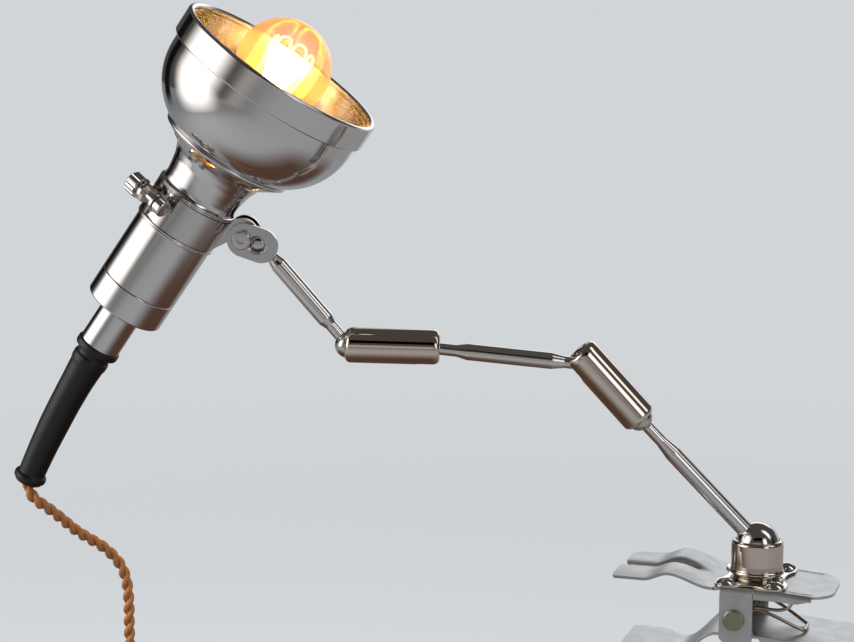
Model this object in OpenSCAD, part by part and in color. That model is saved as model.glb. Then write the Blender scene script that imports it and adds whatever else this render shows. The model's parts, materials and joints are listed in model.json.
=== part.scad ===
// Clip-on lamp: a spring clamp that bites a table edge, a three-rod arm with ball couplings, and a spun
// metal head held by a strap. Millimetres, +Z up. The origin is the middle of the upper jaw's gripping
// face, so the table top is z = 0; -X points into the table and +X along the clamp's handles.

/* [Clamp] */
// Thickness of the table edge between the jaws
table_edge = 39; // [34:1:41]
// Width of the upper clamp plate
clamp_w = 52; // [48:1:60]
// Thickness of the clamp's sheet metal
sheet = 1.5; // [1.2:0.1:1.8]
// Length of the flat part of each jaw
jaw_flat = 18; // [16:1:20]
// Height of the wave in the upper jaw
wave_h = 3.8; // [2:0.2:5]
// Drop of the flat plate below the jaw
plate_drop = 1.8; // [1:0.2:3]
// Distance from the jaw's centre to the arm's post
post_x = 61; // [58:1:68]
// Distance from the post to the crease of the upper handle
crease_run = 15; // [15:1:20]
// Length of the upper handle past its crease
upper_handle = 26; // [22:1:36]
// Length of the lower handle past the pivot pin
lower_handle = 66; // [60:1:76]
// Downward slope of the two handles
handle_slope = 3.8; // [2:0.2:5]
// Width of the ears that hold the pivot pin
ear_w = 16.8; // [15:0.2:18]
// Distance from the post back to the pivot pin
pin_back = 7; // [6:0.2:9]
// Depth of the pivot pin below the table top
pin_depth = 16.5; // [16:0.5:19]
// Radius of the pivot pin
pin_r = 2.5; // [2:0.1:3]
// Wire radius of the clamp spring
wire_r = 0.9; // [0.7:0.1:1]
// Mean radius of the clamp spring's turns
turn_r = 5; // [4.6:0.1:5.2]

/* [Base joint] */
// Height of the base ball's centre above the table top
ball_z = 17.75; // [17.5:0.25:19]
// Radius of the base ball
base_ball_r = 11.1; // [10.6:0.1:11.6]
// Wall of the bell-shaped housing
bell_wall = 1.8; // [1.4:0.1:2.4]
// Thickness of the foot flange
flange_t = 1.3; // [1:0.1:1.8]
// Spacing of the flange screws along X
screw_dx = 25; // [25:0.5:28]
// Spacing of the flange screws along Y
screw_dy = 39.5; // [36:0.5:41]
// Radius of the flange screws' heads
screw_head_r = 4.9; // [4:0.1:5]
// Radius of the flange screws' shanks
screw_r = 2; // [1.5:0.1:2.2]

/* [Arm] */
// Turn of the arm about the post, away from straight over the jaw
arm_yaw = 19; // [0:1:40]
// Angle of the lower rod above the level
lower_angle = 46.7; // [42:0.1:60]
// Angle of the lower coupling above the level
low_coupling_angle = 48; // [42:0.1:60]
// Angle of the middle rod above the level
middle_angle = 6.1; // [2:0.1:12]
// Angle of the upper coupling above the level
high_coupling_angle = 1.7; // [0:0.1:6]
// Angle of the upper rod above the level
upper_angle = 49.67; // [44:0.1:56]
// Length of the lower rod between ball centres
lower_len = 90; // [80:1:110]
// Length of the middle rod between ball centres
middle_len = 87.4; // [80:0.1:110]
// Length of the upper rod between ball centres
upper_len = 68.6; // [62:0.1:90]
// Distance between the two ball centres in a coupling
coupling_len = 36.5; // [34:0.1:44]
// Radius of the small balls
ball_r = 6.7; // [6.3:0.1:6.9]
// Radius of the ball at the neck joint
neck_ball_r = 6.2; // [5.9:0.1:6.3]
// Outer radius of the coupling sleeves
sleeve_r = 9; // [8.6:0.1:9.6]
// Radius of the rods where they are thick
rod_r = 4.25; // [3.8:0.05:4.5]
// Radius of the rods' thin necks
rod_neck_r = 3.05; // [2.6:0.05:3.1]
// Radius of the stud that each ball turns on
stud_r = 1.9; // [1.5:0.1:2.1]

/* [Neck joint] */
// Tilt of the head from the upright, in the arm's plane
head_tilt = 34.4; // [20:0.1:45]
// Lean of the head out of the arm's plane
head_lean = 7.35; // [0:0.05:12]
// Distance from the head's axis to the neck ball
neck_reach = 38.1; // [38:0.1:40]
// Height of the neck ball above the middle of the strap
neck_rise = 8.3; // [7:0.1:10]
// Distance between the neck ball and the socket screw
cheek_pitch = 8; // [8:0.1:9]
// Slope of the cheek plates across the head's axis
cheek_slope = 15; // [10:1:20]
// Half the width of the near cheek plate
cheek_r = 8.7; // [8:0.1:9]
// Half the width of the far cheek plate
far_cheek_r = 5.7; // [5.6:0.1:7]
// Thickness of a cheek plate
cheek_t = 2.6; // [2:0.1:3.2]
// Gap between the cheek plates
cheek_gap = 9.8; // [9.6:0.1:10.2]
// Height of the strap band
strap_h = 17.5; // [15:0.5:18]
// Thickness of the strap band
strap_t = 1.4; // [1:0.1:1.6]
// Direction of the strap bolt round the head's axis
bolt_turn = 60; // [40:1:64]
// Distance from the head's axis to the strap bolt
bolt_reach = 28; // [27.5:0.5:31]

/* [Head] */
// Outer radius of the rim ring
rim_r = 54; // [50:0.5:60]
// Height of the rim above the middle of the strap
rim_z = 89.8; // [89:0.1:93]
// Height of the rim ring's collar
collar_h = 13.5; // [10:0.5:16]
// Wall of the spun bowl
bowl_wall = 1.2; // [0.8:0.1:1.6]
// Radius of the bead ring under the bowl
bead_r = 34.6; // [33:0.1:36]
// Radius of the flared neck at its waist
waist_r = 20; // [19.8:0.1:20.6]
// Number of vents in the flared neck
vents = 7; // [4:1:8]
// Length of one vent
vent_len = 15; // [10:0.5:17]
// Radius of the holder body
holder_r = 20.6; // [20.2:0.1:21]
// Length of the holder body below the strap
holder_len = 34; // [28:0.5:45]
// Length of the end cap
cap_len = 15; // [10:0.5:18]
// Radius of the cord tube
cord_tube_r = 10.8; // [10.4:0.1:11.2]
// Length of the cord tube
cord_tube_len = 23.5; // [18:0.5:32]
// Length of the rubber boot
boot_len = 85; // [72:1:92]
// Sideways bend of the boot's end
boot_bend = 8; // [0:0.5:9]

/* [Bulb] */
// Radius of the bulb's globe
globe_r = 24; // [20:0.5:26]
// Height of the globe's centre above the rim
globe_rise = -1; // [-2:0.5:4]
// Radius of the bulb's screw cap
bulb_cap_r = 13.2; // [13:0.05:13.25]
// Height of the bulb's foot contact above the middle of the strap
bulb_foot_z = 21; // [20:0.5:22]
// Length of the bulb's screw cap
bulb_cap_len = 22; // [20:0.5:23]

/* [Cord] */
// Radius of the cord, over both twisted strands
cord_r = 3.1; // [2.8:0.1:3.2]
// Radius of the largest loop of the put-away cord
loop_r = 46; // [45.8:0.2:48]
// Number of loops of the put-away cord, in two layers, and a quarter turn
loops = 6; // [4:2:6]
// Length of the in-line switch
switch_len = 62; // [54:1:66]
// Width of the in-line switch
switch_w = 24; // [20:0.5:28]
// Depth of the in-line switch
switch_d = 16; // [14:0.5:18]
// Length of the plug's body
plug_len = 27; // [24:1:34]
// Radius of the plug's pins
plug_pin_r = 2; // [1.9:0.05:2.4]
// Length of the plug's pins
plug_pin_len = 19; // [17:0.5:19]
// Distance between the plug's pins
plug_pin_pitch = 18.6; // [17:0.1:19]

/* [Hidden] */

smooth = 72;           // facets of a round preview
soft_gap = 0.3;        // play between curved faces of different bodies
run_gap = 0.05;        // radial play of a running fit
touch = 0.1;           // play between flat faces that turn on each other
past = 1;              // how far a cutter runs past what it cuts
eps = 0.01;

// Clamp
tip_x = -jaw_flat / 2;
wave_from = jaw_flat / 2 - 1;
wave_x = jaw_flat / 2 + 11;
lobe_r = 5.5;
flange_reach_x = screw_dx / 2 + lobe_r;
flange_reach_y = screw_dy / 2 + lobe_r;
plate_x = post_x - flange_reach_x - 0.5;
crease_x = post_x + crease_run;
handle_x = crease_x + upper_handle;
pin_x = post_x - pin_back;
pin_z = -pin_depth;
ear_y = clamp_w / 2;
ear_lead = 1;          // how far the ears sit forward of the pin
ear_bottom = pin_z - 14;
lever_y = ear_y - sheet - soft_gap;
lever_plate_z = pin_z - turn_r - wire_r - 1.7;
lever_x = pin_x + lower_handle;
lever_bend_x = pin_x + 12;
flange_side_h = 3.5;
rivet_head_r = 5.5;
rivet_head_h = 1.6;

// Base joint
plate_top = sheet - plate_drop;
flange_top = plate_top + flange_t;
bell_bore = base_ball_r + soft_gap;
bell_r = bell_bore + bell_wall;
bell_lip = ball_z + 2.2;
seat_bottom = flange_top + 3.5;
seat_top = ball_z - 5.25;
spigot_h = 2.4;

// Arm, in the arm's own plane
function step(p, len, up) = p + len * [cos(up), 0, sin(up)];
base_pt = [0, 0, 0];
pt_a = step(base_pt, lower_len, lower_angle);
pt_b = step(pt_a, coupling_len, low_coupling_angle);
pt_c = step(pt_b, middle_len, middle_angle);
pt_d = step(pt_c, coupling_len, high_coupling_angle);
pt_e = step(pt_d, upper_len, upper_angle);
sleeve_bore = ball_r + 0.4;
nose_len = 10;         // from the nose ball's centre to the nose's end
lip_len = 1.4;         // from the mouth ball's centre to the mouth's end
lip_in = sqrt(pow(ball_r + run_gap, 2) - pow(lip_len, 2));
nose_in = ball_r - 1.6;
slot_w = 2 * rod_neck_r + 0.9;
seat_near = 3.2;       // a cup seat's ends, from its ball's centre
seat_far = 8.5;

// Neck joint and head, in the head's own frame: z along its axis from the middle of the strap
cheek_in = cheek_gap / 2;
screw_pt = [-neck_reach + cheek_pitch * cos(cheek_slope), neck_rise - cheek_pitch * sin(cheek_slope)];
collar_r = 20;         // where the strap grips
strap_in = collar_r + touch;
strap_out = strap_in + strap_t;
bolt_z = 2;
lug_half = 3.7;        // half the split between the strap's bolt lugs
bolt_shift = -4;       // middle of that split, along the bolt
lug_t = 1.5;
bowl_r = rim_r - 2.2;
bowl_top = rim_z - 3;
shoulder_z = rim_z - collar_h - 6;
bowl_foot_z = rim_z - 50.8;
bowl_foot_r = bead_r - 0.5;
bowl_drop = shoulder_z - bowl_foot_z;
bowl_arc_r = (pow(bowl_drop, 2) + pow(bowl_r - bowl_foot_r, 2)) / (2 * (bowl_r - bowl_foot_r));
bowl_arc_end = asin(bowl_drop / bowl_arc_r);
neck_top = bowl_foot_z - 2.2;
flare_r = 24.6;
flare_z = bowl_foot_z - 8.6;
waist_z = 14.2;
bead_low = strap_h / 2 + 0.25;
bead_out = 21.6;       // beads above and below the strap
throat_r = 24;
holder_end = -strap_h / 2 - 2.3 - holder_len;
cap_end = holder_end - cap_len;
tube_end = cap_end - cord_tube_len;
porcelain_r = 17.6;
porcelain_top = bulb_foot_z - 3;
porcelain_end = -6;
shell_in = bulb_cap_r + soft_gap;
shell_wall = 0.7;
cap_z = bulb_foot_z + 3.5;
glass_z = cap_z + bulb_cap_len - 2;
globe_z = rim_z + globe_rise;

// Cord, from the boot down to the switch, the coil and the plug
boot_end = [-boot_bend, 0, tube_end - boot_len];
cord_in_boot = 12;
lead_points = [
    [-300, -103, 37], [-296, -97, 31], [-292, -90, 24], [-288, -82, 16], [-284, -75, 10], [-280, -69, 5],
    [-276, -64, -1], [-272, -61, -8], [-270, -59, -17], [-269, -59, -28], [-269, -59, -41], [-269, -59, -52]
];
drop_x = -269;
drop_y = -59;
switch_top = -62;
switch_bottom = switch_top - switch_len;
bend_r = 27;
coil_top = switch_bottom - 8 - bend_r;
coil_start_x = drop_x + bend_r + cord_r;
coil_x = coil_start_x + 2 * cord_r;
coil_z = coil_top - loop_r;
loop_step = 2 * cord_r + 0.5;
tail_x = coil_x + loop_r;
tail_y = drop_y + loop_step;
plug_top = coil_z - 34;
relief_len = 13;
plug_bottom = plug_top - relief_len - plug_len;

// Smooth start and stop between two heights
function ease(t) = (1 - cos(180 * max(0, min(1, t)))) / 2;
function arc(c, r, from, to, n = 8) = [for (i = [0 : n]) c + r * [cos(from + (to - from) * i / n), sin(from + (to - from) * i / n)]];
function unit(v) = v / norm(v);
function backwards(p) = [for (i = [len(p) - 1 : -1 : 0]) p[i]];

// A tube along a path: the cross-section is carried from point to point without twisting
function heading(p, i) = unit(p[min(i + 1, len(p) - 1)] - p[max(i - 1, 0)]);
function across(t) = unit(cross(t, abs(t[0]) < 0.7 ? [1, 0, 0] : [0, 1, 0]));
function carried(n, t) = unit(n - (n * t) * t);
function sides_of(p) = [
    for (i = 0, t = heading(p, 0), n = across(t); i < len(p);
         i = i + 1, t = heading(p, min(i, len(p) - 1)), n = carried(n, t)) [n, cross(t, n)]
];
function at(r, i) = is_list(r) ? r[i] : r;
function rings(p, r, k) = let (s = sides_of(p)) [
    for (i = [0 : len(p) - 1], j = [0 : k - 1]) p[i] + at(r, i) * (cos(360 * j / k) * s[i][0] + sin(360 * j / k) * s[i][1])
];
function quad(a, b, c, d) = [[a, b, c], [a, c, d]];
function wall(n, k, first = 0, out = true) = [
    for (i = [0 : n - 2], j = [0 : k - 1])
        let (a = first + i * k + j, b = first + i * k + (j + 1) % k)
            each (out ? quad(a, a + k, b + k, b) : quad(b, b + k, a + k, a))
];
function cap(first, k, out = true) = [for (j = [1 : k - 2]) out ? [first, first + j, first + j + 1] : [first, first + j + 1, first + j]];
function collar(a, b, k, out = true) = [
    for (j = [0 : k - 1]) let (m = (j + 1) % k) each (out ? quad(a + j, b + j, b + m, a + m) : quad(a + m, b + m, b + j, a + j))
];

module tube(p, r, k) {
    n = len(p);
    polyhedron(rings(p, r, k), concat(wall(n, k), cap(0, k), cap((n - 1) * k, k, false)));
}

module hollow_tube(p, r_out, r_in, k) {
    n = len(p);
    polyhedron(
        concat(rings(p, r_out, k), rings(p, r_in, k)),
        concat(
            wall(n, k), wall(n, k, n * k, false),
            collar(0, n * k, k, false), collar((n - 1) * k, (2 * n - 1) * k, k)
        )
    );
}

// The least gap between parts of one wound tube, for points more than `apart` steps from each other
function least_gap(p, r, apart) = min([
    for (i = [0 : len(p) - 1 - apart], j = [i + apart : len(p) - 1]) norm(p[i] - p[j])
]) - 2 * r;

module lathe(profile) rotate_extrude($fn = smooth) polygon(profile);
module upright(h, r, z = 0) translate([0, 0, z]) cylinder(h = h, r = r, $fn = smooth);
module side_profile(w, points) rotate([90, 0, 0]) linear_extrude(w, center = true) polygon(points);
module ring_plate(h, r_out, r_in) difference() {
    upright(h, r_out);
    upright(h + 2 * past, r_in, -past);
}

// Frames
module at_post() translate([post_x, 0, 0]) children();
module in_arm() translate([post_x, 0, ball_z]) rotate([0, 0, 180 + arm_yaw]) children();
module along(p, up) in_arm() translate(p) rotate([0, 90 - up, 0]) children();
module in_head() in_arm() translate(pt_e) rotate([0, -head_tilt, 0]) rotate([-head_lean, 0, 0])
    translate([neck_reach, 0, -neck_rise]) children();

// Clamp
function upper_under(x) =
    x <= wave_from ? 0
    : x < wave_x ? wave_h * ease((x - jaw_flat / 2 + 2) / (wave_x - jaw_flat / 2 + 2))
    : x < plate_x ? wave_h - (wave_h + plate_drop) * ease((x - wave_x) / (plate_x - wave_x))
    : x <= crease_x ? -plate_drop
    : -plate_drop - (x - crease_x) * tan(handle_slope);
function lower_top(x) =
    x <= wave_from ? -table_edge
    : x < wave_x ? -table_edge - 3 * ease((x - jaw_flat / 2 + 2) / (wave_x - jaw_flat / 2 + 2))
    : x < pin_x - 9 ? -table_edge - 3 + (table_edge + 3 + lever_plate_z) * ease((x - wave_x) / (pin_x - 9 - wave_x))
    : x <= lever_bend_x ? lever_plate_z
    : lever_plate_z - (x - lever_bend_x) * tan(handle_slope);
function stations(from, to, step) = [for (x = [from : step : to - step / 2]) x];

module upper_outline() {
    corner = 18;
    polygon(concat(
        [[tip_x, -4.5], [tip_x + 4, 0], [tip_x + 1, 4.5]],
        arc([tip_x + 9, ear_y - 8], 8, 180, 90, 4),
        arc([handle_x - corner, ear_y - corner], corner, 90, 0),
        arc([handle_x - corner, -ear_y + corner], corner, 0, -90),
        [[tip_x + 1, -ear_y], [tip_x, -ear_y + 2]]
    ));
}

module lower_outline() {
    corner = 8;
    polygon(concat(
        [[tip_x, -lever_y - past], [tip_x, lever_y + past]],
        arc([lever_x - corner, lever_y - corner], corner, 90, 0),
        arc([lever_x - corner, -lever_y + corner], corner, 0, -90)
    ));
}

module ear_plate(y, w, bottom, top) {
    corner = 4;
    translate([pin_x + ear_lead, y, 0]) rotate([90, 0, 0]) linear_extrude(sheet, center = true) {
        translate([-w / 2, bottom + corner]) square([w, top - bottom - corner]);
        translate([-w / 2 + corner, bottom]) square([w - 2 * corner, corner + eps]);
        for (s = [-1, 1]) translate([s * (w / 2 - corner), bottom + corner]) circle(corner, $fn = smooth);
    }
}

module pin_cutter(r) translate([pin_x, 0, pin_z]) rotate([90, 0, 0]) cylinder(h = clamp_w + 4, r = r, center = true, $fn = smooth);

module at_screws() at_post() for (sx = [-1, 1], sy = [-1, 1]) translate([sx * screw_dx / 2, sy * screw_dy / 2, 0]) children();

module upper_clamp_plate() {
    xs = concat([tip_x], stations(wave_from, plate_x, 2), [plate_x, crease_x, handle_x]);
    flange_from = pin_x + ear_lead + ear_w / 2;
    flange_to = handle_x - 10;
    color("Gainsboro") difference() {
        union() {
            intersection() {
                side_profile(clamp_w, concat(
                    [for (x = xs) [x, upper_under(x)]],
                    [for (x = backwards(xs)) [x, upper_under(x) + sheet]]
                ));
                translate([0, 0, -20]) linear_extrude(40) upper_outline();
            }
            for (s = [-1, 1]) {
                ear_plate(s * (ear_y - sheet / 2), ear_w, ear_bottom, -plate_drop + sheet / 2);
                translate([0, s * (ear_y - sheet / 2), 0]) side_profile(sheet, [
                    [flange_from - eps, -plate_drop + sheet / 2], [flange_from - eps, -plate_drop - flange_side_h],
                    [crease_x, -plate_drop - flange_side_h],
                    [flange_to, upper_under(flange_to) - 0.6], [flange_to, upper_under(flange_to) + sheet / 2],
                    [crease_x, -plate_drop + sheet / 2]
                ]);
            }
        }
        pin_cutter(pin_r);
        at_screws() translate([0, 0, -10]) cylinder(h = 20, r = screw_r, $fn = smooth);
    }
}

module lower_lever() {
    xs = concat([tip_x + 1], stations(wave_from, pin_x - 9, 2), [pin_x - 9, lever_bend_x, lever_x]);
    side_from = pin_x - 7;
    rim_to = lever_x - 9;
    color("LightGray") difference() {
        union() {
            intersection() {
                side_profile(2 * lever_y, concat(
                    [for (x = xs) [x, lower_top(x)]],
                    [for (x = backwards(xs)) [x, lower_top(x) - sheet]]
                ));
                translate([0, 0, -80]) linear_extrude(80) lower_outline();
            }
            for (s = [-1, 1]) translate([0, s * (lever_y - sheet / 2), 0]) {
                side_profile(sheet, [
                    [side_from, lever_plate_z - sheet / 2], [side_from, pin_z], [pin_x + 7, pin_z],
                    [pin_x + 9.5, lever_plate_z + 0.5], [pin_x + 12, lever_plate_z - sheet / 2]
                ]);
                side_profile(sheet, [
                    [lever_bend_x, lever_plate_z - sheet / 2], [rim_to, lower_top(rim_to) - sheet / 2],
                    [rim_to - 2, lower_top(rim_to) - 4], [lever_bend_x + 2, lever_plate_z - 4]
                ]);
                translate([pin_x, 0, pin_z]) rotate([90, 0, 0]) cylinder(h = sheet, r = 7, center = true, $fn = smooth);
            }
        }
        pin_cutter(pin_r + run_gap);
    }
}

module pivot_pin() {
    color("DarkSeaGreen") translate([pin_x, 0, pin_z]) rotate([90, 0, 0]) {
        cylinder(h = clamp_w, r = pin_r, center = true, $fn = smooth);
        for (s = [0, 180]) rotate([s, 0, 0]) translate([0, 0, clamp_w / 2])
            lathe([[0, 0], [rivet_head_r, 0], [rivet_head_r, rivet_head_h - 0.6], [rivet_head_r - 0.8, rivet_head_h], [0, rivet_head_h]]);
    }
}

// One half of the torsion spring: hook under the upper handle, straight end, turns on the pin, then the
// leg that drops to the lower handle. The other half mirrors it.
hook_x = crease_x + 8;
press_x = pin_x + 33;
turn_y = lever_y - sheet - 1.7;
spring_turns = 2.5 + 1 / 6;
spring_pitch = 2 * wire_r + 0.6;
turn_end_y = turn_y - spring_turns * spring_pitch;
spring_half = concat(
    [[hook_x, turn_y, upper_under(hook_x) - wire_r - soft_gap], [hook_x - 1.2, turn_y, -plate_drop - 4],
     [hook_x - 4, turn_y, pin_z + 7.2], [pin_x + 9, turn_y, pin_z + 6.2], [pin_x + 4, turn_y, pin_z + 5.4]],
    [for (i = [0 : round(8 * spring_turns)])
        [pin_x + turn_r * cos(90 + 45 * i), turn_y - spring_pitch * i / 8, pin_z + turn_r * sin(90 + 45 * i)]],
    [[pin_x + 6.6, turn_end_y - 0.6, pin_z + 1.2], [pin_x + 8.4, turn_end_y - 1, pin_z + 3],
     [pin_x + 10, turn_end_y - 1.4, pin_z + 2.9], [press_x - 2, 7, lower_top(press_x - 2) + wire_r + 1.1],
     [press_x - 0.3, 6, lower_top(press_x) + wire_r + soft_gap], [press_x, 4, lower_top(press_x) + wire_r + soft_gap]]
);
spring_path = concat(spring_half, [for (p = backwards(spring_half)) [p[0], -p[1], p[2]]]);

module clamp_spring() color("Silver") tube(spring_path, wire_r, 6);

// Base joint
module foot_flange() {
    scoop_r = 24;
    color("Silver") difference() {
        union() {
            at_post() translate([0, 0, plate_top]) {
                linear_extrude(flange_t) difference() {
                    union() {
                        square([2 * flange_reach_x, screw_dy], center = true);
                        square([screw_dx, 2 * flange_reach_y], center = true);
                        for (sx = [-1, 1], sy = [-1, 1]) translate([sx * screw_dx / 2, sy * screw_dy / 2]) circle(lobe_r, $fn = smooth);
                    }
                    for (s = [-1, 1]) {
                        translate([s * (flange_reach_x + scoop_r - 3.5), 0]) circle(scoop_r, $fn = smooth);
                        translate([0, s * (flange_reach_y + scoop_r / 2 - 4)]) circle(scoop_r / 2, $fn = smooth);
                    }
                }
                translate([0, 0, flange_t - eps]) ring_plate(spigot_h + eps, bell_bore - touch, bell_bore - 2.6);
            }
        }
        at_screws() translate([0, 0, -10]) cylinder(h = 20, r = screw_r + touch, $fn = smooth);
    }
}

module flange_screws() {
    color("Silver") at_screws() lathe(concat(
        [[0, -plate_drop - 1.2], [screw_r, -plate_drop - 1.2], [screw_r, flange_top], [screw_head_r, flange_top]],
        [[screw_head_r, flange_top + 0.7]],
        arc([0, flange_top - 1.9], screw_head_r * 1.16, 30, 90, 5)
    ));
}

module bell_housing() {
    lip_r = 1.9;
    color("RosyBrown") at_post() lathe(concat(
        [[bell_bore, flange_top], [bell_r - 1.2, flange_top], [bell_r - 0.9, flange_top + 0.9]],
        arc([bell_r - 0.6, flange_top + 2.9], 1.4, -70, 40, 6),
        [[bell_r + 0.2, flange_top + 5], [bell_r, flange_top + 7], [bell_r, bell_lip - lip_r]],
        arc([bell_r - lip_r, bell_lip - lip_r], lip_r, 10, 80, 5),
        [[bell_bore - 0.15, bell_lip], [bell_bore, ball_z]]
    ));
}

module disc_springs() {
    inner = 4.5;
    outer = bell_bore - 3;
    rise = 0.75;
    color("DimGray") at_post() for (s = [0, 1]) {
        low = flange_top + 0.1 + s * 1.7;
        a = s == 0 ? rise : 0;
        b = s == 0 ? 0 : rise;
        lathe([[inner, low + a], [outer, low + b], [outer, low + b + 0.8], [inner, low + a + 0.8]]);
    }
}

module turning_seat() {
    color("DarkGoldenrod") at_post() difference() {
        upright(seat_top - seat_bottom, base_ball_r, seat_bottom);
        translate([0, 0, ball_z]) sphere(base_ball_r + soft_gap, $fn = smooth);
    }
}

// Arm
rod_plug = 7;          // length of the lower rod inside the base ball
module base_ball() {
    color("Silver") along(base_pt, lower_angle) difference() {
        sphere(base_ball_r, $fn = smooth);
        upright(base_ball_r, rod_r + run_gap, base_ball_r - rod_plug);
    }
}

// A rod from z = 0 to z = len between two balls; each end is [stud and neck end, neck length, cone length]
function rod_half(ball, neck, cone, side) = [
    [0, side * (-1)], [stud_r, side * (-1)], [stud_r, side * (flat_of(ball) + touch)],
    [rod_neck_r, side * (flat_of(ball) + touch)], [rod_neck_r, side * neck], [rod_r, side * (neck + cone)]
];
function flat_of(ball) = sqrt(pow(ball, 2) - pow(rod_neck_r, 2));
module rod(len, low, high) lathe(concat(
    rod_half(low[0], low[1], low[2], 1),
    [for (q = backwards(rod_half(high[0], high[1], high[2], -1))) [q[0], len + q[1]]]
));

module lower_rod() {
    color("Silver") along(base_pt, lower_angle) lathe(concat(
        [[0, base_ball_r - rod_plug + touch], [rod_r, base_ball_r - rod_plug + touch]],
        [for (q = backwards(rod_half(ball_r, 16.7, 8.7, -1))) [q[0], lower_len + q[1]]]
    ));
}
module middle_rod() color("Silver") along(pt_b, middle_angle) rod(middle_len, [ball_r, 14, 6.5], [ball_r, 18.6, 5.5]);
module upper_rod() color("Silver") along(pt_d, upper_angle) rod(upper_len, [ball_r, 13.5, 3.8], [neck_ball_r, 10.6, 4.5]);

// A ball on a rod's stud; the rod leaves along +Z
module stud_ball(r) difference() {
    sphere(r, $fn = smooth);
    upright(r + 1 + touch, stud_r + run_gap, -1 - touch);
    upright(r, r, flat_of(r));
}
module lower_rod_ball() color("LightGray") along(pt_a, lower_angle) mirror([0, 0, 1]) stud_ball(ball_r);
module middle_rod_low_ball() color("LightGray") along(pt_b, middle_angle) stud_ball(ball_r);
module middle_rod_high_ball() color("LightGray") along(pt_c, middle_angle) mirror([0, 0, 1]) stud_ball(ball_r);
module upper_rod_low_ball() color("LightGray") along(pt_d, upper_angle) stud_ball(ball_r);
module upper_rod_high_ball() color("LightGray") along(pt_e, upper_angle) mirror([0, 0, 1]) stud_ball(neck_ball_r);

// A coupling with its nose ball at z = 0 and its mouth ball at z = coupling_len
module side_slot(turn, from, to) rotate([0, 0, turn]) {
    translate([0, -slot_w / 2, min(from, to)]) cube([sleeve_r + past, slot_w, abs(to - from)]);
    translate([0, 0, from]) rotate([0, 90, 0]) cylinder(h = sleeve_r + past, r = slot_w / 2, $fn = smooth);
}
module sleeve(nose_turn, mouth_turn) difference() {
    lathe([
        [nose_in, -nose_len], [sleeve_r - 1.8, -nose_len], [sleeve_r - 0.5, 0.7 - nose_len], [sleeve_r, 2 - nose_len],
        [sleeve_r, coupling_len - 0.8], [sleeve_r - 0.5, coupling_len + 0.3], [lip_in + 0.7, coupling_len + lip_len],
        [lip_in, coupling_len + lip_len], [sleeve_bore, coupling_len], [sleeve_bore, 0],
        [ball_r + 0.3, -1.5], [nose_in, -7]
    ]);
    side_slot(nose_turn, 0, -nose_len - past);
    side_slot(mouth_turn, coupling_len, coupling_len + lip_len + past);
}
module cup_seat() difference() {
    upright(seat_far - seat_near, sleeve_bore - soft_gap, seat_near);
    sphere(ball_r + soft_gap, $fn = smooth);
}
module seats() {
    cup_seat();
    translate([0, 0, coupling_len]) mirror([0, 0, 1]) cup_seat();
}
coil_wire = 0.7;
coil_turns = 6;
coil_r = 5.2;
coil_from = seat_far + coil_wire;
coil_to = coupling_len - seat_far - coil_wire;
coil_path = [for (i = [0 : 8 * coil_turns]) [coil_r * cos(45 * i), coil_r * sin(45 * i), coil_from + (coil_to - coil_from) * i / (8 * coil_turns)]];
module coupling_spring() tube(coil_path, coil_wire, 6);

module low_coupling() along(pt_b, low_coupling_angle) mirror([0, 0, 1]) children();
module high_coupling() along(pt_c, high_coupling_angle) children();
module lower_sleeve() color("BurlyWood") low_coupling() sleeve(0, 90);
module lower_seats() color("DarkGoldenrod") low_coupling() seats();
module lower_coupling_spring() color("DimGray") low_coupling() coupling_spring();
module upper_sleeve() color("BurlyWood") high_coupling() sleeve(0, 180);
module upper_seats() color("DarkGoldenrod") high_coupling() seats();
module upper_coupling_spring() color("DimGray") high_coupling() coupling_spring();

// Neck joint
module flat_at(y, t) translate([0, y, 0]) rotate([90, 0, 0]) linear_extrude(t, center = true) children();
module cheek_outline(r, from, run) {
    translate([-neck_reach, neck_rise]) rotate(-cheek_slope) translate([from, 0]) {
        translate([0, -r]) square([run, 2 * r]);
        circle(r, $fn = smooth);
        translate([run, 0]) circle(r, $fn = smooth);
    }
}
module screw_line(r, from, to) translate([screw_pt[0], 0, screw_pt[1]]) rotate([-90, 0, 0]) upright(to - from, r, from);
ball_seat_r = sqrt(pow(neck_ball_r + run_gap, 2) - pow(cheek_in, 2));
module cheek(side) difference() {
    flat_at(side * (cheek_in + cheek_t / 2), cheek_t) {
        if (side > 0) cheek_outline(cheek_r, -2, cheek_pitch + 0.8);
        else cheek_outline(far_cheek_r, 0, cheek_pitch);
    }
    upright(100, strap_out + soft_gap, -50);
    translate([-neck_reach, 0, neck_rise]) rotate([-90 * side, 0, 0]) {
        upright(20, ball_seat_r);
        translate([0, 0, cheek_in + cheek_t - 0.9]) cylinder(h = 0.9 + eps, r1 = ball_seat_r, r2 = ball_seat_r + 0.9, $fn = smooth);
    }
    screw_line(cheek_screw_r + touch, -20, 20);
}
cheek_screw_r = 1.5;
module near_cheek() color("LightGray") in_head() cheek(1);
module far_cheek() color("LightGray") in_head() cheek(-1);
module cheek_screw() {
    out = cheek_in + cheek_t;
    color("Silver") in_head() translate([screw_pt[0], 0, screw_pt[1]]) rotate([-90, 0, 0]) difference() {
        lathe([
            [0, -out - 3], [cheek_screw_r, -out - 3], [cheek_screw_r, out], [4.7, out], [4.7, out + 2.7],
            [4.1, out + 3.4], [0, out + 3.4]
        ]);
        translate([0, 0, out + 1.2]) cylinder(h = 4, r = 1.9, $fn = 6);
    }
}
module cheek_nut() {
    out = cheek_in + cheek_t;
    color("Silver") in_head() translate([screw_pt[0], 0, screw_pt[1]]) rotate([-90, 0, 0]) difference() {
        translate([0, 0, -out - 2.4]) cylinder(h = 2.4, r = 3.2, $fn = 6);
        upright(30, cheek_screw_r + touch, -15);
    }
}

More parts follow.
